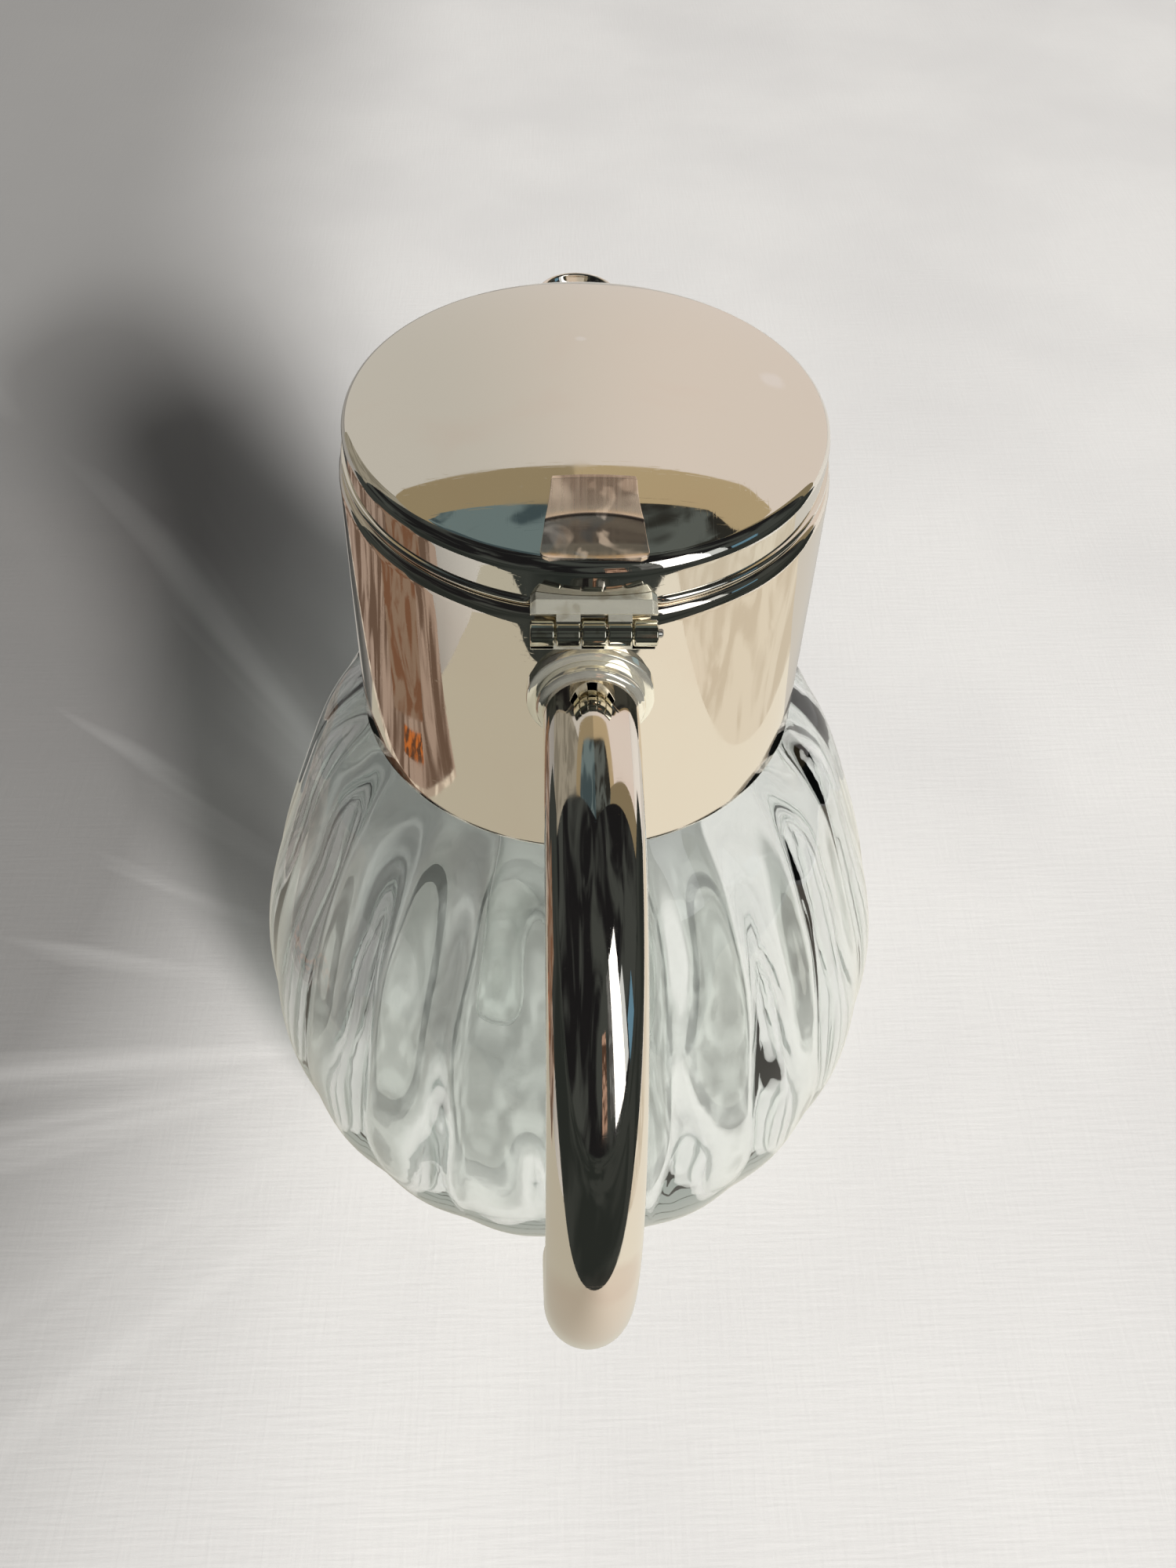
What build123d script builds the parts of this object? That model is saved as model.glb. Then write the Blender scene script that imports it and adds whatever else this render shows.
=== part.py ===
from build123d import *
import math
import os

# Lidded glass carafe with a metal collar, a round-tube handle, a spout and a hanging ice tube.
# Millimetres. +Z is up, the origin is the middle of the foot, the handle points to -Y, the spout to +Y.

# Glass body, outside: each level by its rise over the one below it
HEEL_RISE = 6.0
LOW_BELLY_RISE = 11.0
UNDER_BELLY_RISE = 17.0
BELLY_RISE = 20.5
LOW_FLANK_RISE = 31.0
MID_FLANK_RISE = 23.5
HIGH_FLANK_RISE = 19.0
SHOULDER_RISE = 17.0
TUCK_RISE = 9.0
NECK_ROOT_RISE = 7.0
NECK_START_RISE = 6.0
NECK_TALL = 13.0

# Radii of the belly and the neck, and how far each level is drawn in from its neighbour
BELLY_RADIUS = 85.2
UNDER_BELLY_INSET = 2.0
LOW_BELLY_INSET = 5.6
HEEL_INSET = 7.6
BASE_INSET = 10.0
LOW_FLANK_INSET = 3.8
MID_FLANK_INSET = 7.1
HIGH_FLANK_INSET = 6.9
SHOULDER_INSET = 8.0
NECK_RADIUS = 44.0
NECK_ROOT_FLARE = 1.4
TUCK_FLARE = 6.0
LOBE_COUNT = 20
LOBE_DEPTH = 1.5
LOBE_TURN = -3.4

# Glass body, inside
GLASS_WALL = 3.0
NECK_WALL = 3.4
BASE_THICKNESS = 8.0
INNER_HEEL_RADIUS = 22.0
RIM_ROUND = 1.4

# Collar, a drawn metal sleeve
SHEET = 1.0
COLLAR_TALL = 65.7
COLLAR_BELOW_RIM = 21.8
COLLAR_OVER_NECK = 4.4
COLLAR_FLARE = 1.2
COLLAR_SHOULDER_ROUND = 3.0
COLLAR_FOOT_ROUND = 1.6
COLLAR_LEDGE = 5.2
MOUTH_LIP_DEPTH = 4.0

# Cement bed between neck and collar
CEMENT_BELOW_RIM = 2.0
CEMENT_TALL = 10.0
BED_GAP = 0.05

# Seat ring for the ice tube carrier, soldered inside the collar
SEAT_DROP = 8.9
SEAT_LAP = 1.6
SEAT_THICKNESS = 1.2
SEAT_SKIRT = 2.4

# Lid
LID_INSET = 1.4
LID_SEAT_GAP = 0.3
LID_BAND_TALL = 6.8
LID_FILLET = 3.0
DOME_RADIUS = 154.0
LID_BEAD_RADIUS = 0.75
BEZEL_CLEARANCE = 0.7
BEZEL_DEPTH = 5.0

# Thumb rest on the lid: how far in from the band and how high above its top
THUMB_FRONT_INSET = 1.7
THUMB_CREASE_INSET = 8.0
THUMB_TOP_INSET = 13.6
THUMB_FRONT_RISE = 3.4
THUMB_CREASE_RISE = 6.7
THUMB_TOP_RISE = 10.8
THUMB_FRONT_WIDTH = 19.4
THUMB_TOP_WIDTH = 14.8
THUMB_EDGE = 0.9
THUMB_SCOOP = 0.7
THUMB_BACK_RUN = 2.2
THUMB_CORNER = 1.8
SOLDER_GAP = 0.03

# Hinge
PIN_STANDOFF = 2.9
PIN_DROP = 1.5
PIN_RADIUS = 0.8
PIN_CLEARANCE = 0.04
PIN_PROUD = 0.8
KNUCKLE_RADIUS = 2.3
KNUCKLE_COUNT = 5
KNUCKLE_GAP = 0.3
HINGE_WIDTH = 22.5
LEAF_SHEET = 1.0
LEAF_DEPTH = 2.5
LEAF_TOP_GAP = 0.4
LEAF_SWING_GAP = 0.75
LID_LEAF_RISE = 3.0
LID_LEAF_CORNER = 1.0
LID_LEAF_ROOT_THICKNESS = 2.0

# Handle
HANDLE_DROP = 19.5
HANDLE_TUBE_RADIUS = 8.8
HANDLE_TUBE_WALL = 1.2
HANDLE_STRAIGHT = 8.0
HANDLE_BEND_RADIUS = 73.7
HANDLE_SWEEP = 138.0
HANDLE_SPIGOT = 5.0
HANDLE_SPIGOT_CLEARANCE = 0.3
FIT_GAP = 0.05
FLANGE_LAP = 3.1
FLANGE_THICKNESS = 1.3
FLANGE_BEAD_RADIUS = 0.7
FERRULE_LAP = 1.4
FERRULE_LENGTH = 3.0
FERRULE_ROUND = 1.0
STUD_RADIUS = 3.0
STUD_HOLE_CLEARANCE = 0.15
STUD_PLUG_LENGTH = 7.4
WASHER_LAP = 3.5
WASHER_THICKNESS = 1.2
NUT_WALL = 2.0
NUT_THICKNESS = 4.5
STUD_END_PROUD = 1.5

# Spout, by how far each section is below the collar's top and out from its wall
SPOUT_ROOT_Y = 40.0
SPOUT_ROOT_DROP = 34.9
SPOUT_ROOT_HALF_HEIGHT = 15.0
SPOUT_ROOT_HALF_WIDTH = 12.0
SPOUT_HOLE_DROP = 30.9
SPOUT_HOLE_HALF_HEIGHT = 9.5
SPOUT_HOLE_HALF_WIDTH = 8.5
SPOUT_ELBOW_OUT = 9.6
SPOUT_ELBOW_DROP = 26.4
SPOUT_ELBOW_RADIUS = 9.4
SPOUT_ELBOW_TILT = 48.0
SPOUT_ELBOW_STRETCH = 1.12
SPOUT_THROAT_OUT = 13.8
SPOUT_THROAT_DROP = 15.9
SPOUT_THROAT_RADIUS = 7.8
SPOUT_THROAT_TILT = 16.0
SPOUT_NECK_OUT = 15.2
SPOUT_NECK_DROP = 7.4
SPOUT_NECK_RADIUS = 7.7
SPOUT_NECK_TILT = 4.0
SPOUT_LIP_OUT = 15.6
SPOUT_LIP_DROP = 3.3
SPOUT_LIP_RADIUS = 9.2
SPOUT_WALL = 1.0
STRAINER_THICKNESS = 0.8
STRAINER_MARGIN = 2.0
STRAINER_HOLE_RADIUS = 1.2
STRAINER_PITCH = 3.8

# Ice tube and its carrier
TUBE_RADIUS = 20.0
TUBE_WALL = 2.0
TUBE_FLOOR_GAP = 6.5
TUBE_BOTTOM_ROUND = 11.0
TUBE_RIM_LIP = 2.6
TUBE_RIM_THICKNESS = 2.2
CARRIER_CLEARANCE = 2.5
CARRIER_THICKNESS = 1.2
CARRIER_HOLE_CLEARANCE = 0.3
CARRIER_SLEEVE_WALL = 1.0
CARRIER_SLEEVE_DEPTH = 7.0
CARRIER_SEAT_GAP = 0.3
CARRIER_SLOT_COUNT = 6
CARRIER_SLOT_INNER_MARGIN = 3.4
CARRIER_SLOT_OUTER_MARGIN = 1.9
CARRIER_SLOT_ANGLE = 40.0

# Distances from the axis where cutters start and end, well inside and outside the collar wall
CUT_START = 30.0
CUT_END = 70.0

# Sizes that follow from the ones above
LOW_BELLY_HEIGHT = HEEL_RISE + LOW_BELLY_RISE
UNDER_BELLY_HEIGHT = LOW_BELLY_HEIGHT + UNDER_BELLY_RISE
BELLY_HEIGHT = UNDER_BELLY_HEIGHT + BELLY_RISE
LOW_FLANK_HEIGHT = BELLY_HEIGHT + LOW_FLANK_RISE
MID_FLANK_HEIGHT = LOW_FLANK_HEIGHT + MID_FLANK_RISE
HIGH_FLANK_HEIGHT = MID_FLANK_HEIGHT + HIGH_FLANK_RISE
SHOULDER_HEIGHT = HIGH_FLANK_HEIGHT + SHOULDER_RISE
TUCK_HEIGHT = SHOULDER_HEIGHT + TUCK_RISE
NECK_ROOT_HEIGHT = TUCK_HEIGHT + NECK_ROOT_RISE
NECK_START_HEIGHT = NECK_ROOT_HEIGHT + NECK_START_RISE
NECK_TOP_HEIGHT = NECK_START_HEIGHT + NECK_TALL
UNDER_BELLY_RADIUS = BELLY_RADIUS - UNDER_BELLY_INSET
LOW_BELLY_RADIUS = UNDER_BELLY_RADIUS - LOW_BELLY_INSET
HEEL_RADIUS = LOW_BELLY_RADIUS - HEEL_INSET
BASE_RADIUS = HEEL_RADIUS - BASE_INSET
LOW_FLANK_RADIUS = BELLY_RADIUS - LOW_FLANK_INSET
MID_FLANK_RADIUS = LOW_FLANK_RADIUS - MID_FLANK_INSET
HIGH_FLANK_RADIUS = MID_FLANK_RADIUS - HIGH_FLANK_INSET
SHOULDER_RADIUS = HIGH_FLANK_RADIUS - SHOULDER_INSET
NECK_ROOT_RADIUS = NECK_RADIUS + NECK_ROOT_FLARE
TUCK_RADIUS = NECK_ROOT_RADIUS + TUCK_FLARE
COLLAR_TOP_RADIUS = NECK_RADIUS + COLLAR_OVER_NECK
COLLAR_BOTTOM_RADIUS = COLLAR_TOP_RADIUS + COLLAR_FLARE
COLLAR_BOTTOM_HEIGHT = NECK_TOP_HEIGHT - COLLAR_BELOW_RIM
COLLAR_TOP_HEIGHT = COLLAR_BOTTOM_HEIGHT + COLLAR_TALL
MOUTH_RADIUS = COLLAR_TOP_RADIUS - COLLAR_LEDGE
CEMENT_TOP_HEIGHT = NECK_TOP_HEIGHT - CEMENT_BELOW_RIM
CEMENT_BOTTOM_HEIGHT = CEMENT_TOP_HEIGHT - CEMENT_TALL
SEAT_HEIGHT = COLLAR_TOP_HEIGHT - SEAT_DROP
LID_RADIUS = COLLAR_TOP_RADIUS - LID_INSET
LID_BOTTOM_HEIGHT = COLLAR_TOP_HEIGHT + LID_SEAT_GAP
LID_BAND_TOP_HEIGHT = LID_BOTTOM_HEIGHT + LID_BAND_TALL
BEZEL_RADIUS = MOUTH_RADIUS - BEZEL_CLEARANCE
THUMB_FRONT_Y = LID_RADIUS - THUMB_FRONT_INSET
THUMB_CREASE_Y = LID_RADIUS - THUMB_CREASE_INSET
THUMB_TOP_Y = LID_RADIUS - THUMB_TOP_INSET
THUMB_TOP_HEIGHT = LID_BAND_TOP_HEIGHT + THUMB_TOP_RISE
PIN_Y = COLLAR_TOP_RADIUS + PIN_STANDOFF
PIN_HEIGHT = COLLAR_TOP_HEIGHT - PIN_DROP
KNUCKLE_PITCH = HINGE_WIDTH / KNUCKLE_COUNT
HANDLE_HEIGHT = COLLAR_TOP_HEIGHT - HANDLE_DROP
HANDLE_STRAIGHT_END_Y = COLLAR_TOP_RADIUS + HANDLE_STRAIGHT
FLANGE_RADIUS = HANDLE_TUBE_RADIUS + FLANGE_LAP
FERRULE_RADIUS = HANDLE_TUBE_RADIUS + FERRULE_LAP
CARRIER_BOTTOM_HEIGHT = SEAT_HEIGHT + CARRIER_SEAT_GAP
CARRIER_TOP_HEIGHT = CARRIER_BOTTOM_HEIGHT + CARRIER_THICKNESS
CARRIER_RADIUS = BEZEL_RADIUS - SHEET - CARRIER_CLEARANCE
SEAT_INNER_RADIUS = CARRIER_RADIUS - SEAT_LAP
TUBE_RIM_RADIUS = TUBE_RADIUS + TUBE_RIM_LIP
TUBE_BOTTOM_HEIGHT = BASE_THICKNESS + TUBE_FLOOR_GAP
CARRIER_SLOT_INNER = TUBE_RIM_RADIUS + CARRIER_SLOT_INNER_MARGIN
CARRIER_SLOT_OUTER = SEAT_INNER_RADIUS - CARRIER_SLOT_OUTER_MARGIN

GLASS_STATIONS = [
    (BASE_RADIUS, 0.0, 0.0),
    (HEEL_RADIUS, HEEL_RISE, 0.35),
    (LOW_BELLY_RADIUS, LOW_BELLY_HEIGHT, 0.8),
    (UNDER_BELLY_RADIUS, UNDER_BELLY_HEIGHT, 1.0),
    (BELLY_RADIUS, BELLY_HEIGHT, 1.0),
    (LOW_FLANK_RADIUS, LOW_FLANK_HEIGHT, 1.0),
    (MID_FLANK_RADIUS, MID_FLANK_HEIGHT, 0.95),
    (HIGH_FLANK_RADIUS, HIGH_FLANK_HEIGHT, 0.85),
    (SHOULDER_RADIUS, SHOULDER_HEIGHT, 0.6),
    (TUCK_RADIUS, TUCK_HEIGHT, 0.3),
    (NECK_ROOT_RADIUS, NECK_ROOT_HEIGHT, 0.0),
    (NECK_RADIUS, NECK_START_HEIGHT, 0.0),
]


def ring(inner, outer, bottom, top):
    """A plain upright ring between two radii and two heights."""
    tall = top - bottom
    middle = (bottom + top) / 2
    return Pos(0, 0, middle) * (Cylinder(outer, tall) - Cylinder(inner, tall))


def turned(points_face):
    """Turn a face in the XZ plane once round the Z axis."""
    return revolve(points_face, axis=Axis.Z, revolution_arc=360)


def collar_radius(height):
    """Outer radius of the slightly tapered collar wall at a height."""
    share = (height - COLLAR_BOTTOM_HEIGHT) / (COLLAR_TOP_HEIGHT - COLLAR_BOTTOM_HEIGHT)
    return COLLAR_BOTTOM_RADIUS + share * (COLLAR_TOP_RADIUS - COLLAR_BOTTOM_RADIUS)


def collar_cone(offset):
    """A solid with the collar's outer taper, grown by an offset, longer than the collar."""
    low = COLLAR_BOTTOM_HEIGHT - COLLAR_TOP_RADIUS
    high = COLLAR_TOP_HEIGHT + COLLAR_TOP_RADIUS
    return Pos(0, 0, (low + high) / 2) * Cone(
        collar_radius(low) + offset, collar_radius(high) + offset, high - low
    )


def polar(radius, degrees, height):
    """A point at a radius, an angle from -Y towards +X, and a height."""
    angle = math.radians(degrees)
    return Vector(radius * math.sin(angle), -radius * math.cos(angle), height)


def lobed_section(radius, height, share):
    """One level of the blown body: a scalloped outline of equal convex arcs."""
    step = 360 / LOBE_COUNT
    dip = LOBE_DEPTH * share / 2
    arcs = []
    for lobe in range(LOBE_COUNT):
        start = LOBE_TURN + lobe * step
        arcs.append(
            ThreePointArc(
                polar(radius - dip, start, height),
                polar(radius + dip, start + step / 2, height),
                polar(radius - dip, start + step, height),
            )
        )
    return Face(Wire(arcs))


def glass_outside():
    """The lobed outside of the jug from its foot to the root of the neck, and the round neck."""
    sections = [lobed_section(r, h, share) for r, h, share in GLASS_STATIONS]
    body = loft(sections)
    neck = Pos(0, 0, NECK_START_HEIGHT + NECK_TALL / 2) * Cylinder(NECK_RADIUS, NECK_TALL)
    return body + neck


def glass_cavity():
    """The smooth inside of the jug: a rounded bottom, the belly, and the bore of the neck."""
    bore = NECK_RADIUS - NECK_WALL
    lobe = LOBE_DEPTH / 2
    wall = [(r - GLASS_WALL - lobe * share, h) for r, h, share in GLASS_STATIONS[3:10]]
    heel = wall[0][0] - INNER_HEEL_RADIUS
    outline = [
        Line((0, BASE_THICKNESS), (heel, BASE_THICKNESS)),
        Spline(
            (heel, BASE_THICKNESS), *wall, (bore, NECK_START_HEIGHT),
            tangents=((1, 0), (0, 1)),
        ),
        Line((bore, NECK_START_HEIGHT), (bore, NECK_TOP_HEIGHT + 1)),
        Line((bore, NECK_TOP_HEIGHT + 1), (0, NECK_TOP_HEIGHT + 1)),
        Line((0, NECK_TOP_HEIGHT + 1), (0, BASE_THICKNESS)),
    ]
    return turned(Plane.XZ * make_face(Curve() + outline))


def glass_body():
    """The blown glass jug on its flat ground base, with a fire-polished rim."""
    body = glass_outside() - glass_cavity()
    rim = body.faces().sort_by(Axis.Z)[-1].edges()
    return fillet(rim, RIM_ROUND)


def sleeve_profile():
    """Half section of the collar sheet: foot, tapered wall, rounded shoulder and turned-in mouth."""
    foot = COLLAR_FOOT_ROUND
    round_ = COLLAR_SHOULDER_ROUND
    low_out = collar_radius(COLLAR_BOTTOM_HEIGHT + foot)
    top_out = collar_radius(COLLAR_TOP_HEIGHT - round_)
    lip_bottom = COLLAR_TOP_HEIGHT - MOUTH_LIP_DEPTH
    diagonal = math.sqrt(0.5)
    outline = [
        Line((low_out - foot, COLLAR_BOTTOM_HEIGHT), (low_out - foot, COLLAR_BOTTOM_HEIGHT + SHEET)),
        ThreePointArc(
            (low_out - foot, COLLAR_BOTTOM_HEIGHT + SHEET),
            (low_out - foot + (foot - SHEET) * diagonal,
             COLLAR_BOTTOM_HEIGHT + foot - (foot - SHEET) * diagonal),
            (low_out - SHEET, COLLAR_BOTTOM_HEIGHT + foot),
        ),
        Line((low_out - SHEET, COLLAR_BOTTOM_HEIGHT + foot),
             (top_out - SHEET, COLLAR_TOP_HEIGHT - round_)),
        ThreePointArc(
            (top_out - SHEET, COLLAR_TOP_HEIGHT - round_),
            (top_out - round_ + (round_ - SHEET) * diagonal,
             COLLAR_TOP_HEIGHT - round_ + (round_ - SHEET) * diagonal),
            (top_out - round_, COLLAR_TOP_HEIGHT - SHEET),
        ),
        Line((top_out - round_, COLLAR_TOP_HEIGHT - SHEET),
             (MOUTH_RADIUS + SHEET, COLLAR_TOP_HEIGHT - SHEET)),
        Line((MOUTH_RADIUS + SHEET, COLLAR_TOP_HEIGHT - SHEET), (MOUTH_RADIUS + SHEET, lip_bottom)),
        Line((MOUTH_RADIUS + SHEET, lip_bottom), (MOUTH_RADIUS, lip_bottom)),
        Line((MOUTH_RADIUS, lip_bottom), (MOUTH_RADIUS, COLLAR_TOP_HEIGHT)),
        Line((MOUTH_RADIUS, COLLAR_TOP_HEIGHT), (top_out - round_, COLLAR_TOP_HEIGHT)),
        ThreePointArc(
            (top_out - round_, COLLAR_TOP_HEIGHT),
            (top_out - round_ + round_ * diagonal, COLLAR_TOP_HEIGHT - round_ + round_ * diagonal),
            (top_out, COLLAR_TOP_HEIGHT - round_),
        ),
        Line((top_out, COLLAR_TOP_HEIGHT - round_), (low_out, COLLAR_BOTTOM_HEIGHT + foot)),
        ThreePointArc(
            (low_out, COLLAR_BOTTOM_HEIGHT + foot),
            (low_out - foot + foot * diagonal, COLLAR_BOTTOM_HEIGHT + foot - foot * diagonal),
            (low_out - foot, COLLAR_BOTTOM_HEIGHT),
        ),
    ]
    return Plane.XZ * make_face(Curve() + outline)


def front_plane(y, drop):
    """An upright plane facing the front, at a distance from the axis, below the collar's top."""
    return Plane(origin=(0, y, COLLAR_TOP_HEIGHT - drop), x_dir=(1, 0, 0), z_dir=(0, 1, 0))


def spout_hole(margin):
    """An oval bar through the collar's front wall, the spout's opening with a margin round it."""
    oval = Ellipse(SPOUT_HOLE_HALF_WIDTH + margin, SPOUT_HOLE_HALF_HEIGHT + margin)
    return extrude(front_plane(CUT_START, SPOUT_HOLE_DROP) * oval, CUT_END - CUT_START)


def collar_shell():
    """The polished collar with its spout opening and the hole for the handle stud."""
    shell = turned(sleeve_profile())
    shell -= spout_hole(0.0)
    return shell - handle_bar(STUD_RADIUS + STUD_HOLE_CLEARANCE, CUT_START, CUT_END)


def neck_cement():
    """The hard cement bed that holds the collar on the glass neck."""
    outer = collar_radius(CEMENT_TOP_HEIGHT) - SHEET - BED_GAP
    return ring(NECK_RADIUS + BED_GAP, outer, CEMENT_BOTTOM_HEIGHT, CEMENT_TOP_HEIGHT)


def seat_ring():
    """The flat inner ring with a short skirt that carries the ice tube's carrier."""
    outer = collar_radius(SEAT_HEIGHT) - SHEET - BED_GAP
    plate = ring(SEAT_INNER_RADIUS, outer, SEAT_HEIGHT - SEAT_THICKNESS, SEAT_HEIGHT)
    skirt = ring(outer - SHEET, outer, SEAT_HEIGHT - SEAT_THICKNESS - SEAT_SKIRT, SEAT_HEIGHT)
    return plate + skirt


def spout_section(out, drop, radius, tilt, stretch=1.0):
    """A round or oval section of the spout, square to its path at a tilt from the vertical."""
    angle = math.radians(tilt)
    centre = (0, COLLAR_TOP_RADIUS + out, COLLAR_TOP_HEIGHT - drop)
    plane = Plane(origin=centre, x_dir=(1, 0, 0), z_dir=(0, math.sin(angle), math.cos(angle)))
    return plane * Ellipse(radius, radius * stretch)


def spout_form(thinner):
    """The spout's flowing form from an oval root to a flared lip, drawn in by a wall."""
    root = front_plane(SPOUT_ROOT_Y, SPOUT_ROOT_DROP)
    root *= Ellipse(SPOUT_ROOT_HALF_WIDTH - thinner, SPOUT_ROOT_HALF_HEIGHT - thinner)
    sections = [
        root,
        spout_section(SPOUT_ELBOW_OUT, SPOUT_ELBOW_DROP, SPOUT_ELBOW_RADIUS - thinner,
                      SPOUT_ELBOW_TILT, SPOUT_ELBOW_STRETCH),
        spout_section(SPOUT_THROAT_OUT, SPOUT_THROAT_DROP, SPOUT_THROAT_RADIUS - thinner,
                      SPOUT_THROAT_TILT),
        spout_section(SPOUT_NECK_OUT, SPOUT_NECK_DROP, SPOUT_NECK_RADIUS - thinner,
                      SPOUT_NECK_TILT),
        spout_section(SPOUT_LIP_OUT, SPOUT_LIP_DROP, SPOUT_LIP_RADIUS - thinner, 0.0),
    ]
    return loft(sections)


def spout_body():
    """The hollow pouring spout, soldered to the front of the collar."""
    return spout_form(0.0) - spout_form(SPOUT_WALL) - collar_cone(SOLDER_GAP)


def spout_strainer():
    """The pierced plate behind the spout opening, curved to the inside of the collar."""
    outer = collar_cone(-SHEET - SOLDER_GAP)
    inner = collar_cone(-SHEET - SOLDER_GAP - STRAINER_THICKNESS)
    blank = (outer - inner) & spout_hole(STRAINER_MARGIN)
    holes = Sketch() + [Circle(STRAINER_HOLE_RADIUS)]
    for ring_index in (1, 2):
        radius = ring_index * STRAINER_PITCH
        holes += PolarLocations(radius, 6 * ring_index) * Circle(STRAINER_HOLE_RADIUS)
    return blank - extrude(front_plane(CUT_START, SPOUT_HOLE_DROP) * holes, CUT_END - CUT_START)


def handle_axis_turned(outline):
    """Turn a half section round the handle's root axis, which runs along -Y."""
    plane = Plane(origin=(0, 0, HANDLE_HEIGHT), x_dir=(1, 0, 0), z_dir=(0, 0, 1))
    face = plane * make_face(Curve() + outline)
    axis = Axis((0, 0, HANDLE_HEIGHT), (0, -1, 0))
    return revolve(face, axis=axis, revolution_arc=360)


def handle_flange():
    """The round base plate of the handle, hollowed to the collar, with a bead round its face."""
    face_y = -collar_radius(HANDLE_HEIGHT) - FLANGE_THICKNESS
    bore = HANDLE_TUBE_RADIUS + FIT_GAP
    bead = FLANGE_BEAD_RADIUS
    outline = [
        Line((bore, -CUT_START), (FLANGE_RADIUS, -CUT_START)),
        Line((FLANGE_RADIUS, -CUT_START), (FLANGE_RADIUS, face_y)),
        ThreePointArc((FLANGE_RADIUS, face_y), (FLANGE_RADIUS - bead, face_y - bead),
                      (FLANGE_RADIUS - 2 * bead, face_y)),
        Line((FLANGE_RADIUS - 2 * bead, face_y), (bore, face_y)),
        Line((bore, face_y), (bore, -CUT_START)),
    ]
    return handle_axis_turned(outline) - collar_cone(SOLDER_GAP)


def handle_ferrule():
    """The inner ring that covers the joint of tube and flange, with a rounded front."""
    back_y = -collar_radius(HANDLE_HEIGHT) - FLANGE_THICKNESS - FIT_GAP
    front_y = back_y - FERRULE_LENGTH
    bore = HANDLE_TUBE_RADIUS + FIT_GAP
    soft = FERRULE_ROUND
    outline = [
        Line((bore, back_y), (FERRULE_RADIUS, back_y)),
        Line((FERRULE_RADIUS, back_y), (FERRULE_RADIUS, front_y + soft)),
        RadiusArc((FERRULE_RADIUS, front_y + soft), (FERRULE_RADIUS - soft, front_y), soft),
        Line((FERRULE_RADIUS - soft, front_y), (bore, front_y)),
        Line((bore, front_y), (bore, back_y)),
    ]
    return handle_axis_turned(outline)


def handle_bend_plane(degrees):
    """The plane of the handle's cross section after some degrees of its bend."""
    angle = math.radians(degrees)
    y = -HANDLE_STRAIGHT_END_Y - HANDLE_BEND_RADIUS * math.sin(angle)
    z = HANDLE_HEIGHT - HANDLE_BEND_RADIUS + HANDLE_BEND_RADIUS * math.cos(angle)
    return Plane(origin=(0, y, z), x_dir=(1, 0, 0), z_dir=(0, -math.cos(angle), -math.sin(angle)))


def handle_tube():
    """The bent round tube: a short straight from the collar, then one long bend."""
    start = handle_bend_plane(0)
    wall = Circle(HANDLE_TUBE_RADIUS) - Circle(HANDLE_TUBE_RADIUS - HANDLE_TUBE_WALL)
    run = HANDLE_STRAIGHT_END_Y - CUT_START
    straight = extrude(start * wall, -run) - collar_cone(FIT_GAP)
    hub = Axis((0, -HANDLE_STRAIGHT_END_Y, HANDLE_HEIGHT - HANDLE_BEND_RADIUS), (1, 0, 0))
    bend = revolve(start * wall, axis=hub, revolution_arc=HANDLE_SWEEP)
    return straight + bend


def handle_end_cap():
    """The domed plug that closes the free lower end of the handle."""
    end = handle_bend_plane(HANDLE_SWEEP)
    spigot_radius = HANDLE_TUBE_RADIUS - HANDLE_TUBE_WALL - HANDLE_SPIGOT_CLEARANCE
    outline = [
        Line((0, -HANDLE_SPIGOT), (spigot_radius, -HANDLE_SPIGOT)),
        Line((spigot_radius, -HANDLE_SPIGOT), (spigot_radius, FIT_GAP)),
        Line((spigot_radius, FIT_GAP), (HANDLE_TUBE_RADIUS, FIT_GAP)),
        CenterArc((0, FIT_GAP), HANDLE_TUBE_RADIUS, 0, 90),
        Line((0, FIT_GAP + HANDLE_TUBE_RADIUS), (0, -HANDLE_SPIGOT)),
    ]
    cap = revolve(Plane.XZ * make_face(Curve() + outline), axis=Axis.Z, revolution_arc=360)
    return end.location * cap


def handle_bar(radius, start_y, end_y):
    """A round bar on the handle's root axis between two distances from the jug's axis."""
    middle = (start_y + end_y) / 2
    return Pos(0, -middle, HANDLE_HEIGHT) * Rot(90, 0, 0) * Cylinder(radius, abs(end_y - start_y))


def nut_outer_y():
    """Distance from the jug's axis to the nut's face on the washer."""
    return collar_radius(HANDLE_HEIGHT) - SHEET - WASHER_THICKNESS - FIT_GAP * 2


def handle_stud():
    """The plug inside the root of the tube and its stud through the collar wall."""
    plug_radius = HANDLE_TUBE_RADIUS - HANDLE_TUBE_WALL - FIT_GAP
    plug_start = collar_radius(HANDLE_HEIGHT) + FIT_GAP
    plug = handle_bar(plug_radius, plug_start - SHEET, plug_start + STUD_PLUG_LENGTH)
    plug -= collar_cone(FIT_GAP)
    stud_end = nut_outer_y() - NUT_THICKNESS - STUD_END_PROUD
    return plug + handle_bar(STUD_RADIUS, stud_end, plug_start + SHEET)


def handle_washer():
    """The washer under the nut, curved on one side to the inside of the collar."""
    outer_y = collar_radius(HANDLE_HEIGHT)
    blank = handle_bar(STUD_RADIUS + WASHER_LAP, nut_outer_y() + FIT_GAP, outer_y)
    blank -= handle_bar(STUD_RADIUS + FIT_GAP, CUT_START, CUT_END)
    return blank & collar_cone(-SHEET - FIT_GAP)


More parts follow.
